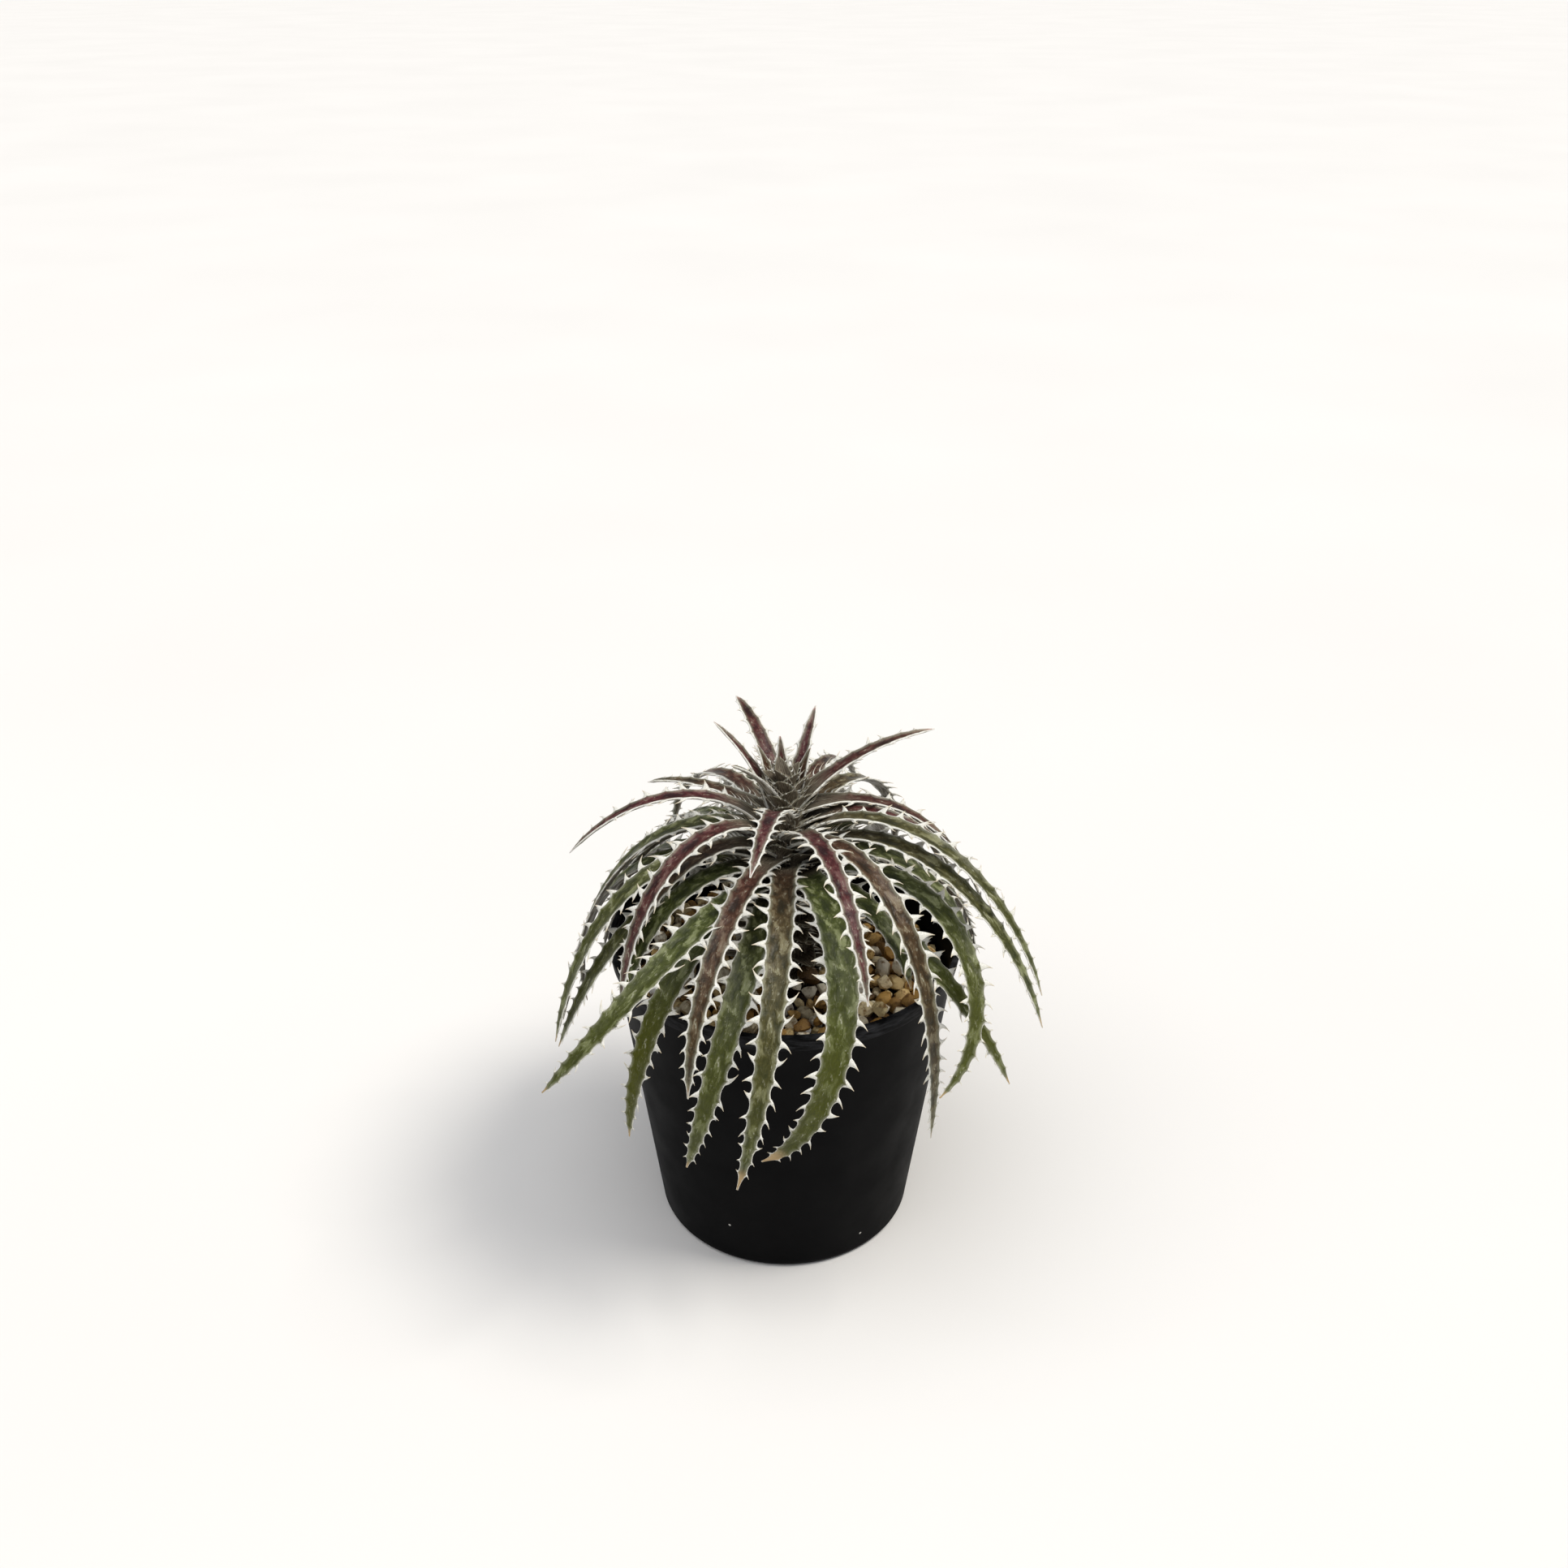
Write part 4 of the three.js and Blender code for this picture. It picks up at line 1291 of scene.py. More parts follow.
class DYCKIA_OT_stem(bpy.types.Operator):
    """Makes the short stem, clothed in withered leaf sheaths"""

    bl_idname = "dyckia.stem"
    bl_label = "Stem"

    def execute(self, context):
        settings = context.scene.dyckia_leaf
        heights = np.linspace(STEM_PROFILE[0][1], STEM_PROFILE[-1][1], STEM_RINGS)
        profile = [(0, heights[0])] + [(stem_radius(z), z) for z in heights]
        profile += [(0, heights[-1] + STEM_CAP)]
        points, faces = lathe(profile, STEM_SIDES)
        piece = mesh_object("clothed_stem", points, faces)
        # The stem's own skin lies well inside any margin, so none of it is chalky.
        inside = np.full(len(points), STEM_INSIDE)
        points = np.array(points)
        around = np.arctan2(points[:, 1], points[:, 0]) * STEM_PROFILE[2][0]
        clothe_base(piece, np.stack([around, points[:, 2]], axis=1), inside)
        material = leaf_tissue("Leaf base tissue, scurfy", settings, roughness=0.6)
        shape = sheath_mesh("sheath_shape")
        hooks = sheath_hooks()
        spine_tree()
        hook_shapes = spine_shapes()
        shades = {"bark": np.ones(len(hooks)), "chalk_mm": np.full(len(hooks), 0.15)}
        values = {
            "Spines": hook_shapes,
            "Lean": settings.lean,
            "Seed": settings.seed,
            "Material": material,
        }
        grow_spines(shape, hooks, shades, values)
        remove_set(hook_shapes)
        sites = sheath_sites()
        values = {
            "Sites": sites,
            "Scale Shape": shape,
            "Lean": math.radians(SHEATH_LEAN),
            "Seed": settings.seed,
            "Material": material,
        }
        run_tree(piece, sheath_tree(), values)
        piece.data.shade_smooth()
        remove_helpers(shape, sites)
        hand_over(piece, "stem", "stem")
        return {"FINISHED"}


# ---------------------------------------------------------------------------------------
# Leaves
# ---------------------------------------------------------------------------------------


class Course:
    """The course of a leaf: points and frames from foot to tip in equal steps. At each step
    the heading bends down about the frame's side and sways about its normal."""

    def __init__(self, leaf):
        azimuth = math.radians(leaf.azimuth)
        rise = math.radians(leaf.rise)
        out = Vector((math.cos(azimuth), math.sin(azimuth), 0))
        up = Vector((0, 0, 1))
        along = out * math.cos(rise) + up * math.sin(rise)
        side = up.cross(out)
        normal = along.cross(side)
        inner_edge = EDGE_LIFT * half_width(leaf, 0.0) + 0.5 * LEAF_EDGE
        stand_off = inner_edge * math.sin(rise) if leaf.rise > STEEP_RISE else 0
        point = out * (stem_radius(leaf.foot) + SEAT_GAP + stand_off)
        point.z = leaf.foot
        frames = [(point, along, side, normal)]
        for i in range(COURSE_STEPS):
            t = (i + 0.5) / COURSE_STEPS
            down = math.radians(leaf.droop) * (1 + leaf.early * (1 - 2 * t)) / COURSE_STEPS
            bend = Quaternion(side, down)
            along = bend @ along
            normal = bend @ normal
            turn = Quaternion(normal, math.radians(leaf.sway) * 2 * t / COURSE_STEPS)
            along = turn @ along
            side = turn @ side
            point = point + along * (leaf.length / COURSE_STEPS)
            frames.append((point, along, side, normal))
        self.leaf = leaf
        self.points, self.alongs, self.sides, self.normals = (
            np.array(column, float) for column in zip(*[[tuple(v) for v in f] for f in frames])
        )

    def at(self, t):
        """Points, headings, sides and normals at shares of the length. A share below zero
        runs straight back from the foot."""
        t = np.atleast_1d(np.asarray(t, float))
        place = np.clip(t, 0, 1) * COURSE_STEPS
        i = np.minimum(place.astype(int), COURSE_STEPS - 1)
        f = (place - i)[:, None]
        before = self.points[np.maximum(i - 1, 0)]
        a = self.points[i]
        b = self.points[i + 1]
        after = self.points[np.minimum(i + 2, COURSE_STEPS)]
        spline = 2 * a + (b - before) * f
        spline += (2 * before - 5 * a + 4 * b - after) * f**2
        spline += (3 * a - before - 3 * b + after) * f**3
        point = spline / 2
        back = np.minimum(t, 0)[:, None] * self.leaf.length
        frames = []
        for column in (self.alongs, self.sides, self.normals):
            mixed = mix_numbers(column[i], column[i + 1], f)
            frames.append(mixed / np.linalg.norm(mixed, axis=1)[:, None])
        return point + back * frames[0], *frames


def half_width(leaf, t):
    """Half the blade's width: a little narrower at the foot, nearly even up to the middle, and
    drawn out to the tip."""
    neck = mix_numbers(NECK_SHARE, 1, np.clip(t / NECK_LENGTH, 0, 1))
    taper = (1 - np.clip(t, 0, 1) ** TAPER_POWER) ** TAPER_ROUNDNESS
    return np.maximum(0.5 * THINNEST, 0.5 * leaf.width * neck * taper)


def thickness_share(t):
    """Share of its thickness at the foot that the blade keeps."""
    return 1 - THINNING * np.clip(t, 0, 1)


def stations(leaf):
    """Where the solids' cross sections stand, as shares of the length. A pair of spines grows
    between each two, from the third on."""
    at = min(BARE_FOOT, 0.25 * leaf.length)
    places = [0, 0.5 * at / leaf.length]
    while at < leaf.length - 0.75 * SPINE_TIP_PITCH:
        places.append(at / leaf.length)
        at += mix_numbers(SPINE_PITCH, SPINE_TIP_PITCH, (at / leaf.length) ** CROWDING_POWER)
    return places


Spine = namedtuple("Spine", "t hand base out ahead length lean form")


def margin_spines(leaf, course, number, spine_length):
    """The spines of the margins, where the solids have them. They are shorter at the foot,
    towards the tip and on short or narrow leaves, and each differs a little."""
    random = random_stream(SPINE_SEED + number)
    forms = np.random.default_rng(FORM_SEED + number)
    size = np.clip(leaf.length / GROWN_LENGTH, 0.5, 1)
    full = spine_length * size * (0.8 + 0.02 * leaf.width)
    places = stations(leaf)
    spines = []
    for low, high in zip(places[2:-1], places[3:]):
        t = mix_numbers(low, high, mix_numbers(*SPINE_PLACES, next(random)))
        point, along, side, normal = (column[0] for column in course.at(t))
        grown = np.clip(0.45 + 3 * t, 0, 1) * np.clip(2.6 * (1.12 - t), 0.3, 1)
        vigour = mix_numbers(*SPINE_VIGOUR, smooth_step(*VIGOUR_FADES, t))
        half = float(half_width(leaf, t))
        for hand in (1, -1):
            length = full * vigour * grown * mix_numbers(*SPINE_LENGTHS, next(random))
            lean = -1 if next(random) < BACKWARD_SHARE else 1
            out = side * hand + normal * mix_numbers(*SPINE_RISES, next(random))
            base = point + side * hand * half + normal * EDGE_LIFT * half
            form = int(forms.integers(FOOT_HOOK_FORM))
            spines.append(Spine(t, hand, base, out, along * lean, length, lean, form))
    return spines


def foot_hooks(leaf, course, number):
    """Thin curled hooks that crowd the bare foot of a leaf."""
    random = np.random.default_rng(HOOK_SEED + number)
    hooks = []
    at = FOOT_HOOK_START
    end = min(BARE_FOOT, 0.3 * leaf.length)
    while at < end + FOOT_HOOK_START:
        t = at / leaf.length
        point, along, side, normal = (column[0] for column in course.at(t))
        half = float(blade_half(leaf, t))
        for hand in (1, -1):
            out = side * hand + normal * mix_numbers(*HOOK_RISES, random.random())
            base = point + side * hand * half * 0.96 + normal * EDGE_LIFT * half
            length = FOOT_HOOK_LENGTH * mix_numbers(*HOOK_LENGTHS, random.random())
            length *= 0.7 + 0.03 * leaf.width
            hooks.append(Spine(t, hand, base, out, along, length, 0, FOOT_HOOK_FORM))
        at += FOOT_HOOK_PITCH * mix_numbers(*HOOK_SPACINGS, random.random())
    return hooks


def is_crowded(points, courses, own):
    """Whether any of the points lies inside or just beside another leaf's blade."""
    for course in courses:
        if course is own:
            continue
        near = np.linalg.norm(course.points[None] - points[:, None], axis=2) < CROWDED_REACH
        if not near.any():
            continue
        offset = points[:, None, :] - course.points[None]
        step = course.leaf.length / COURSE_STEPS
        half = half_width(course.leaf, np.linspace(0, 1, COURSE_STEPS + 1))
        along = np.abs((offset * course.alongs).sum(axis=2)) < 0.5 * step + 1
        across = np.abs((offset * course.sides).sum(axis=2)) < half + CROWDED_GAP
        height = np.abs((offset * course.normals).sum(axis=2) + 0.5) < LEAF_KEEL
        if (along & across & height).any():
            return True
    return False


def fitted_spines(spines, courses, own):
    """The spines, of which those that would run into a neighbouring blade stay short."""
    fitted = []
    for spine in spines:
        tip = spine.base + (spine.out + 0.4 * spine.ahead) * spine.length
        probes = np.array([mix_numbers(spine.base, tip, s) for s in (0.45, 0.75, 1)])
        if is_crowded(probes, courses, own):
            spine = spine._replace(length=STUNTED_SHARE * spine.length)
        fitted.append(spine)
    return fitted


def blade_half(leaf, t):
    """Half the fine blade's width: the solid's, broader where the foot clasps the stem."""
    clasp = 1 - smooth_step(0, CLASP_LENGTH, t * leaf.length)
    return half_width(leaf, t) * (1 + CLASP_SHARE * clasp)


def section_places(leaf, spines):
    """Shares of the length at which the blade has sections. They crowd round the spines, so
    that one falls on each pair and the arcs between them are evenly round."""
    pairs = sorted({spine.t for spine in spines if spine.form != FOOT_HOOK_FORM})
    knots = [-FOOT_IN_STEM / leaf.length, *pairs, 1 - TIP_SETBACK / leaf.length]
    places = []
    for low, high in zip(knots, knots[1:]):
        count = max(3, math.ceil((high - low) * leaf.length / SECTION_STEP))
        turns = np.arange(count) * math.pi / count
        places += list(mix_numbers(low, high, (1 - np.cos(turns)) / 2))
    return np.array(places + [knots[-1]])


def bites(leaf, t, spines, hand, margin):
    """How far the white margin stands out along one edge and how far it leans ahead: round
    arcs from each spine to the next, bitten out of it."""
    own = sorted((s.t, s.length, s.lean) for s in spines if s.hand == hand and s.form != FOOT_HOOK_FORM)
    places = np.array([own[0][0] - FIRST_BITE / leaf.length] + [s[0] for s in own] + [1.0])
    heights = np.array([0.0] + [BITE_SHARE * s[1] for s in own] + [0.0])
    leans = np.array([0.0] + [s[2] for s in own] + [0.0])
    before = np.clip(np.searchsorted(places, t, side="right") - 1, 0, len(places) - 2)
    share = np.clip((t - places[before]) / (places[before + 1] - places[before]), 0, 1)
    arc_height = 1 - np.sqrt(1 - (2 * share - 1) ** 2)
    rise = mix_numbers(heights[before], heights[before + 1], share) * arc_height
    rise = np.where(t < places[0], 0, rise)
    lean = np.where(share < 0.5, leans[before], leans[before + 1])
    fade = smooth_step(0, 0.1, t) * (1 - 0.7 * smooth_step(0.85, 1.0, t))
    return margin * fade + rise, BITE_LEAN * lean * rise


# The blade's section, from the end of the right margin over the top to the left margin and
# back below: hand, share of the half width, share of the margin, and whether it is below.
SECTION = (
    [(1, 1, share, 0) for share in (1.0, 0.5)]
    + [(1, share, 0, 0) for share in (1.0, 0.9, 0.74, 0.5, 0.25, 0.0)]
    + [(-1, share, 0, 0) for share in (0.25, 0.5, 0.74, 0.9, 1.0)]
    + [(-1, 1, share, 0) for share in (0.5, 1.0)]
    + [(-1, 1, 0.5, 1)]
    + [(-1, share, 0, 1) for share in (1.0, 0.9, 0.72, 0.45, 0.16)]
    + [(1, share, 0, 1) for share in (0.16, 0.45, 0.72, 0.9, 1.0)]
    + [(1, 1, 0.5, 1)]
)


def drawn_waves(random, count, shortest, longest):
    """Waves for a smooth unevenness: their turns per millimetre across and along, and phases."""
    length = random.uniform(shortest, longest, count)
    turn = random.uniform(0, math.tau, count)
    return np.cos(turn) / length, np.sin(turn) / length, random.uniform(0, math.tau, count)


def unevenness(waves, across, along):
    """The sum of the waves at places on the blade, from -1 to 1."""
    total = sum(
        np.sin(math.tau * (across * wide + along * long) + phase) for wide, long, phase in zip(*waves)
    )
    return total / len(waves[0])


def blade_rings(leaf, course, t, spines, number, margin):
    """Points of the blade as an array of rings, and for each point its place on the unrolled
    blade, how far inside the rim it lies and whether it is on the underside."""
    waves = drawn_waves(np.random.default_rng(BLISTER_SEED + number), BLISTER_COUNT, *BLISTER_LENGTHS)
    half = blade_half(leaf, t) * smooth_step(1.02, 0.94, t) + 0.12
    thick = thickness_share(t)
    edge = np.maximum(LEAF_EDGE * thick, THINNEST) * 0.5
    keel = LEAF_KEEL * thick * (0.55 + 0.05 * leaf.width)
    slim = np.clip((1.02 - t) / 0.1, 0.15, 1)
    clasp = 1 - smooth_step(0, CLASP_LENGTH, t * leaf.length)
    margins = {hand: bites(leaf, t, spines, hand, margin) for hand in (1, -1)}
    spread = 0.7 - 0.35 * leaf.age * smooth_step(0.3, 0.7, t)
    columns = []
    for hand, share, beyond, below in SECTION:
        wide, lean = margins[hand]
        across = hand * (share * half + beyond * wide)
        lift = EDGE_LIFT * half
        rough = unevenness(waves, across, t * leaf.length) * (1 - share**4)
        if beyond:
            thin = edge * (0.95 - 0.45 * beyond) * (1 - 2 * below) * (beyond < 1)
            level = (lift + thin) * slim + wide * beyond * MARGIN_RISE
        elif below:
            rise = share**KEEL_POWER
            level = ((lift - edge) * rise - keel * (1 - rise) + BLISTERS_BELOW * rough) * slim
        else:
            height, place, width = BEAD
            bead = height * math.exp(-(((share - place) / width) ** 2))
            hollow = TOP_MIDDLE + (lift + edge - TOP_MIDDLE) * share**TOP_POWER
            level = (hollow + bead + BLISTERS_ABOVE * rough) * slim
        back = clasp * across**2 / (2 * stem_radius(leaf.foot))
        inside = (1 - share) * half + (1 - beyond) * wide - spread * (wide - margin)
        under = np.full_like(t, 0.5 if beyond else below)
        columns.append((across, level, lean * beyond**2 - back, inside, under))
    across, level, shift, inside, under = (np.stack(c, axis=1) for c in zip(*columns))
    point, along, side, normal = (vectors[:, None] for vectors in course.at(t))
    rings = point + across[..., None] * side + level[..., None] * normal + shift[..., None] * along
    return rings, np.stack([across, t[:, None] * leaf.length + shift], axis=2), inside, under


def blade_mesh(name, leaf, course, spines, number, margin):
    """The blade as a closed object, with its surface map and its shading attributes."""
    t = section_places(leaf, spines)
    rings, flat, inside, below = blade_rings(leaf, course, t, spines, number, margin)
    sections, around = rings.shape[:2]
    tip = course.at(1.0)[0][0]
    points = np.vstack([rings.reshape(-1, 3), tip])

    index = np.arange(sections * around).reshape(sections, around)
    next_around = np.roll(index, -1, axis=1)
    quads = np.stack([index[:-1], next_around[:-1], next_around[1:], index[1:]], axis=2)
    faces = quads.reshape(-1, 4).tolist()
    faces += [[a, b, len(points) - 1] for a, b in zip(index[-1], next_around[-1])]
    faces.append(index[0][::-1].tolist())
    piece = mesh_object(name, points, faces)

    map_surface(piece.data, np.vstack([flat.reshape(-1, 2), (0, leaf.length)]))

    for label, values in leaf_shades(leaf, number, t).items():
        column = np.append(np.repeat(values, around), values[-1])
        set_attribute(piece.data, label, "FLOAT", column)
    set_attribute(piece.data, "rim_mm", "FLOAT", np.append(inside.ravel(), 0))
    set_attribute(piece.data, "under", "FLOAT", np.append(below.ravel(), 0.5))
    set_attribute(piece.data, "horn", "FLOAT", np.zeros(len(points)))
    return piece


def map_surface(mesh, flat):
    """Gives every corner its vertex's place on the unrolled blade, in metres."""
    layer = mesh.uv_layers.new(name="surface")
    corners = np.empty(len(mesh.loops), int)
    mesh.loops.foreach_get("vertex_index", corners)
    layer.data.foreach_set("uv", (flat[corners] * MM).astype(np.float32).ravel())


def leaf_shades(leaf, number, t):
    """The shading attributes along a leaf: how maroon, how yellow and how withered it is, and
    how far its white margin reaches in, which draws back towards the tip of an old leaf."""
    look = SPECIAL_LOOKS.get(number + 1) or Look(
        float(np.clip(1.15 - 1.15 * leaf.age, 0, 1)),
        float(np.clip(1 - 1.9 * leaf.age, 0, 1)),
        0.6 * leaf.age,
        min(DRY_TIP, DRY_SHARE * leaf.length),
    )
    share = np.clip(t, 0, 1)
    left = (1 - share) * leaf.length
    bare = min(BROWN_FOOT - 9 * leaf.age, BROWN_SHARE * leaf.length)
    return {
        "blush": mix_numbers(look.blush_foot, look.blush_tip, share**0.8),
        "gold": look.gold * smooth_step(0.25, 0.8, share),
        "dry": 1 - smooth_step(0.45 * look.dry, look.dry, left),
        "chalk_mm": CHALK_REACH - CHALK_WORN * leaf.age * smooth_step(0.2, 0.6, share),
        "bark": 1 - smooth_step(0.3, 1.0, share * leaf.length / bare),
    }


def spine_shape(name, half, thick, reach, bow):
    """A hooked spine of 57 faces, one long: its root at the origin, its point towards +Y and
    bent to +X. It is flat like a thorn and broadest just above the root, which lies inside
    the margin."""
    rings, around = SPINE_RINGS, SPINE_SIDES
    s = np.append(np.arange(rings + 1) / rings, 1.0)
    middle_x = 2 * bow * s * (1 - s) + reach * s**2
    middle_y = SPINE_ROOT + (1 - SPINE_ROOT) * s * (1.2 - 0.2 * s)
    ahead_x = 2 * bow * (1 - 2 * s) + 2 * reach * s
    ahead_y = (1 - SPINE_ROOT) * (1.2 - 0.4 * s)
    ahead = np.hypot(ahead_x, ahead_y)
    keep = (1 - s) ** SPINE_TAPER * smooth_step(-0.1, 0.2, s) + SPINE_BLUNTNESS
    turn = np.arange(around) * math.tau / around
    sideways = (half * keep)[:, None] * np.cos(turn)
    x = middle_x[:, None] + sideways * (ahead_y / ahead)[:, None]
    y = middle_y[:, None] - sideways * (ahead_x / ahead)[:, None]
    z = (thick * keep**0.5 * smooth_step(-0.25, 0.45, s))[:, None] * np.sin(turn)
    points = np.stack([x, y, z], axis=2)[: rings + 1].reshape(-1, 3)
    points = np.vstack([points, (middle_x[-1], 1.02, 0)])
    faces = []
    for low in range(0, rings * around, around):
        for k in range(around):
            j = (k + 1) % around
            faces.append([low + k, low + k + around, low + j + around, low + j])
    last = rings * around
    faces += [[last + k, len(points) - 1, last + (k + 1) % around] for k in range(around)]
    faces.append(list(range(around)))
    shape = mesh_object(name, points / MM, faces)
    horn = np.append(np.repeat(s[: rings + 1], around), 1.0)
    set_attribute(shape.data, "horn", "FLOAT", horn)
    set_attribute(shape.data, "rim_mm", "FLOAT", 0.6 - 3 * smooth_step(0.0, 0.35, horn))
    map_surface(shape.data, points[:, :2] * SPINE_LENGTH)
    return shape


def spine_shapes():
    """A hidden set of the forms of a spine, in their order."""
    shapes = [spine_shape("spine_%d" % i, *form) for i, form in enumerate(SPINE_FORMS)]
    return hidden_set("spine_shapes", shapes)


def spine_tree():
    """Sets a spine of its site's form on each site of a blade's margins, leaning a little by
    its own draw, and joins them to the blade."""
    if SPINE_TREE in bpy.data.node_groups:
        return
    inputs = {
        "Sites": "NodeSocketObject",
        "Spines": "NodeSocketCollection",
        "Lean": "NodeSocketFloat",
        "Seed": "NodeSocketInt",
        "Material": "NodeSocketMaterial",
    }
    fields = {"out": "FLOAT_VECTOR", "ahead": "FLOAT_VECTOR", "reach": "FLOAT", "form": "INT"}
    tree, given, field = geometry_tree(SPINE_TREE, inputs, fields)
    spread = add_node(
        tree, "ShaderNodeVectorMath", {"Vector": LEAN_SHARES, "Scale": given["Lean"]}, operation="SCALE"
    )
    least = add_node(tree, "ShaderNodeVectorMath", {"Vector": spread, "Scale": -1.0}, operation="SCALE")
    drawn = add_node(
        tree, "FunctionNodeRandomValue", {"Min": least, "Max": spread, "Seed": given["Seed"]},
        data_type="FLOAT_VECTOR",
    )
    lean = add_node(tree, "FunctionNodeEulerToRotation", {"Euler": drawn})
    turned = stand_by(tree, field["out"], "X", field["ahead"], lean)
    sites = add_node(tree, "GeometryNodeObjectInfo", {"Object": given["Sites"]}, output="Geometry")
    shapes = add_node(
        tree, "GeometryNodeCollectionInfo",
        {"Collection": given["Spines"], "Separate Children": True, "Reset Children": True},
    )
    placed = add_node(
        tree, "GeometryNodeInstanceOnPoints",
        {
            "Points": sites, "Instance": shapes, "Pick Instance": True, "Instance Index": field["form"],
            "Rotation": turned, "Scale": field["reach"],
        },
    )
    close_tree(tree, given, placed, given["Geometry"])


def site_points(spines, shades):
    """The spines' roots as loose points that carry how each spine stands and its shading."""
    sites = mesh_object("spine_sites", [s.base for s in spines], [])
    set_attribute(sites.data, "out", "FLOAT_VECTOR", [s.out for s in spines])
    set_attribute(sites.data, "ahead", "FLOAT_VECTOR", [s.ahead for s in spines])
    set_attribute(sites.data, "reach", "FLOAT", [s.length * MM for s in spines])
    forms = sites.data.attributes.new("form", "INT", "POINT")
    forms.data.foreach_set("value", [s.form for s in spines])
    for label, values in shades.items():
        set_attribute(sites.data, label, "FLOAT", values)
    return sites


def grow_spines(piece, spines, shades, values):
    """Runs the spine tree on a piece with its spines, given the tree's other inputs."""
    sites = site_points(spines, shades)
    run_tree(piece, bpy.data.node_groups[SPINE_TREE], {"Sites": sites, **values})
    remove_helpers(sites)


class DYCKIA_OT_leaves(bpy.types.Operator):
    """Makes every leaf: a channelled blade, its scalloped margin and its hooked spines"""

    bl_idname = "dyckia.leaves"
    bl_label = "Leaves"

    def execute(self, context):
        settings = context.scene.dyckia_leaf
        young = leaf_tissue("Young leaf tissue, maroon", settings, roughness=0.36)
        old = leaf_tissue("Old leaf tissue, green", settings, roughness=0.38)
        spine_tree()
        shapes = spine_shapes()
        courses = [Course(leaf) for leaf in LEAVES]
        for number, (leaf, course) in enumerate(zip(LEAVES, courses)):
            spines = margin_spines(leaf, course, number, settings.spine_length / MM)
            spines += foot_hooks(leaf, course, number)
            spines = fitted_spines(spines, courses, course)
            name = "leaf_blade_%02d" % (number + 1)
            piece = blade_mesh(name, leaf, course, spines, number, settings.margin / MM)
            shades = leaf_shades(leaf, number, np.array([s.t for s in spines]))
            slot, tissue = ("young_leaf", young) if leaf.age < OLD_AGE else ("old_leaf", old)
            values = {
                "Spines": shapes,
                "Lean": settings.lean,
                "Seed": settings.seed + number,
                "Material": tissue,
            }
            grow_spines(piece, spines, shades, values)
            hand_over(piece, slot, "leaf_%02d" % (number + 1))
        remove_set(shapes)
        return {"FINISHED"}


# ---------------------------------------------------------------------------------------
# Stage
# ---------------------------------------------------------------------------------------

# The camera stands a little above the plant and looks down on it. The shift only sets where
# the plant stands in the frame.
CAMERA_PLACE = (-2.7, -543.4, 459.8)
CAMERA_PITCH = 20.41
CAMERA_LENS = 39.1
CAMERA_SENSOR = 36
CAMERA_SHIFT = (0.0041, -0.1397)
FLOOR_SIZE = 60000


def add_sun(name, towards, strength, softness, warmth):
    """A distant soft light that comes from a direction."""
    data = bpy.data.lights.new(name, "SUN")
    data.angle = math.radians(softness)
    data.energy = strength
    data.color = linear(warmth)[:3]
    light = bpy.data.objects.new(name, data)
    light.rotation_euler = Vector(towards).to_track_quat("Z", "Y").to_euler()
    bpy.context.scene.collection.objects.link(light)


def add_camera():
    """The camera of the scene, with its lens, place and tilt."""
    data = bpy.data.cameras.new("camera")
    data.sensor_width = CAMERA_SENSOR
    data.lens = CAMERA_LENS
    data.shift_x, data.shift_y = CAMERA_SHIFT
    data.clip_start = 0.01
    data.clip_end = 100
    camera = bpy.data.objects.new("camera", data)
    camera.location = Vector(CAMERA_PLACE) * MM
    camera.rotation_euler = (math.radians(90 - CAMERA_PITCH), 0, 0)
    bpy.context.scene.collection.objects.link(camera)
    bpy.context.scene.camera = camera


class DYCKIA_OT_stage(bpy.types.Operator):
    """Sets the pale floor, the soft lights and the camera"""

    bl_idname = "dyckia.stage"
    bl_label = "Stage"

    def execute(self, context):
        settings = context.scene.dyckia_stage
        half = FLOOR_SIZE / 2
        corners = [(-half, -half, 0), (half, -half, 0), (half, half, 0), (-half, half, 0)]
        floor = mesh_object("floor", corners, [[0, 1, 2, 3]], [pale_floor(settings)])
        floor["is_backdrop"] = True
        add_sun("key", (0.95, -0.15, 1.5), settings.key, 24, "#fffaf2")
        add_sun("softbox", (-0.25, -0.3, 1.0), settings.softbox, 65, "#fdfdff")
        world = bpy.data.worlds.new("daylight")
        world.use_nodes = True
        world.node_tree.nodes.clear()
        glow = add_node(
            world.node_tree, "ShaderNodeBackground",
            {"Color": linear("#fbfcff"), "Strength": settings.daylight},
        )
        add_node(world.node_tree, "ShaderNodeOutputWorld", {"Surface": glow})
        context.scene.world = world
        context.scene.view_settings.view_transform = "Standard"
        add_camera()
        return {"FINISHED"}


# ---------------------------------------------------------------------------------------
# Panel, registration and run
# ---------------------------------------------------------------------------------------


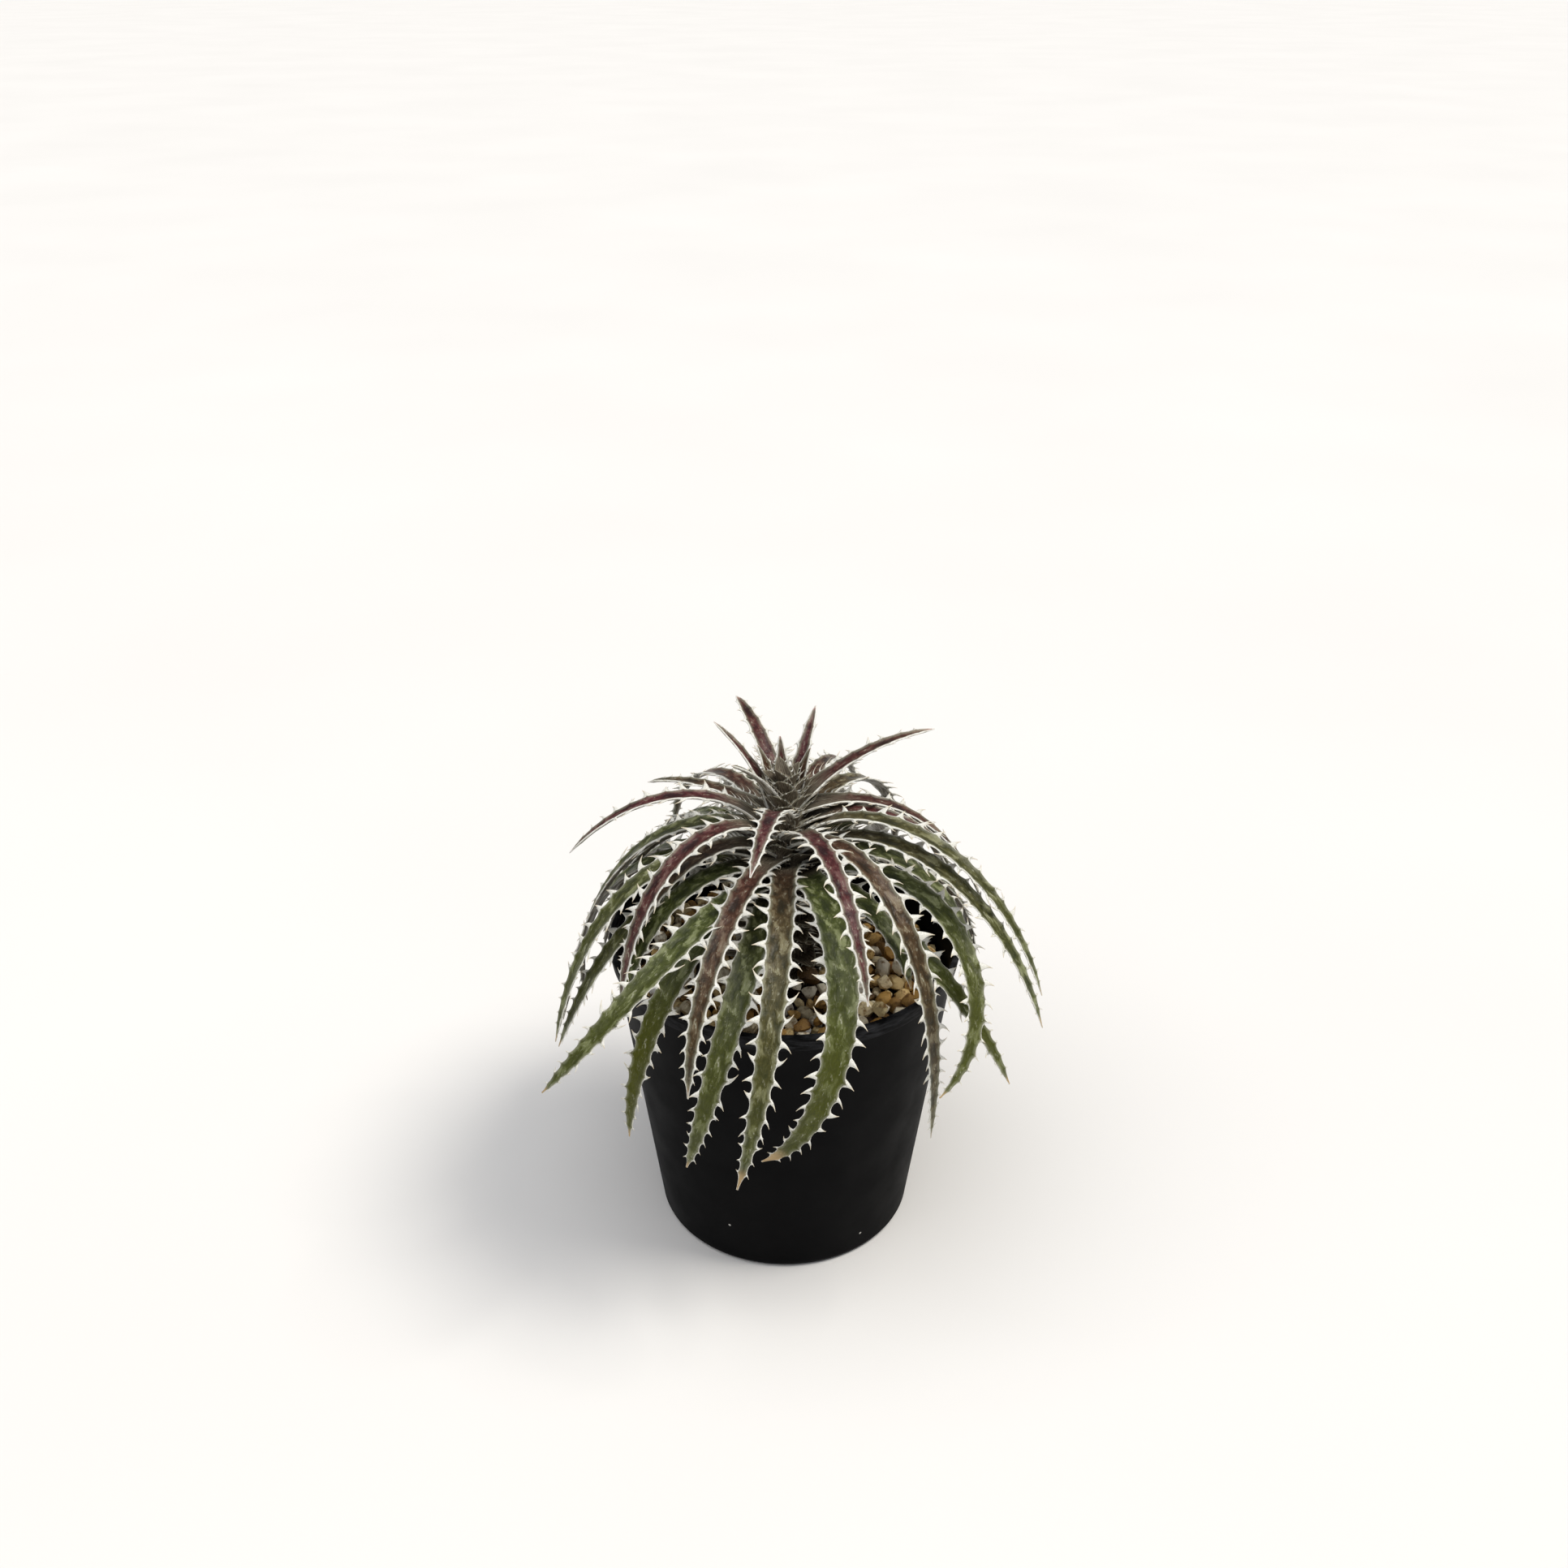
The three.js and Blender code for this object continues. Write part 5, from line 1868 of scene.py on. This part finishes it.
class DYCKIA_PT_panel(bpy.types.Panel):
    """Lists the settings and the operators in the sidebar"""

    bl_label = "Potted Dyckia"
    bl_idname = "DYCKIA_PT_panel"
    bl_space_type = "VIEW_3D"
    bl_region_type = "UI"
    bl_category = "Dyckia"

    def draw(self, context):
        rows = (
            ("dyckia_stage", ("dyckia.stage",)),
            ("dyckia_pot", ("dyckia.pot", "dyckia.mix")),
            ("dyckia_gravel", ("dyckia.gravel",)),
            ("dyckia_leaf", ("dyckia.stem", "dyckia.leaves")),
        )
        for group, operators in rows:
            box = self.layout.box()
            settings = getattr(context.scene, group)
            for name in settings.bl_rna.properties.keys():
                if name not in ("rna_type", "name"):
                    box.prop(settings, name)
            for operator in operators:
                box.operator(operator)


CLASSES = (
    DyckiaPotSettings,
    DyckiaGravelSettings,
    DyckiaLeafSettings,
    DyckiaStageSettings,
    DYCKIA_OT_stage,
    DYCKIA_OT_pot,
    DYCKIA_OT_mix,
    DYCKIA_OT_gravel,
    DYCKIA_OT_stem,
    DYCKIA_OT_leaves,
    DYCKIA_PT_panel,
)


def register():
    for item in CLASSES:
        bpy.utils.register_class(item)
    bpy.types.Scene.dyckia_pot = bpy.props.PointerProperty(type=DyckiaPotSettings)
    bpy.types.Scene.dyckia_gravel = bpy.props.PointerProperty(type=DyckiaGravelSettings)
    bpy.types.Scene.dyckia_leaf = bpy.props.PointerProperty(type=DyckiaLeafSettings)
    bpy.types.Scene.dyckia_stage = bpy.props.PointerProperty(type=DyckiaStageSettings)


def unregister():
    del bpy.types.Scene.dyckia_stage
    del bpy.types.Scene.dyckia_leaf
    del bpy.types.Scene.dyckia_gravel
    del bpy.types.Scene.dyckia_pot
    for item in reversed(CLASSES):
        bpy.utils.unregister_class(item)


def write_size():
    """Works out the box of the solids and the box of the dressed plant, and keeps neither."""
    boxes = {"cad": CAD_BOX, "visual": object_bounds()}
    {name: [list(low), list(high)] for name, (low, high) in boxes.items()}


def main():
    register()
    bpy.ops.dyckia.stage()
    bpy.ops.dyckia.pot()
    bpy.ops.dyckia.mix()
    bpy.ops.dyckia.gravel()
    bpy.ops.dyckia.stem()
    bpy.ops.dyckia.leaves()
    write_size()


if __name__ == "__main__":
    main()
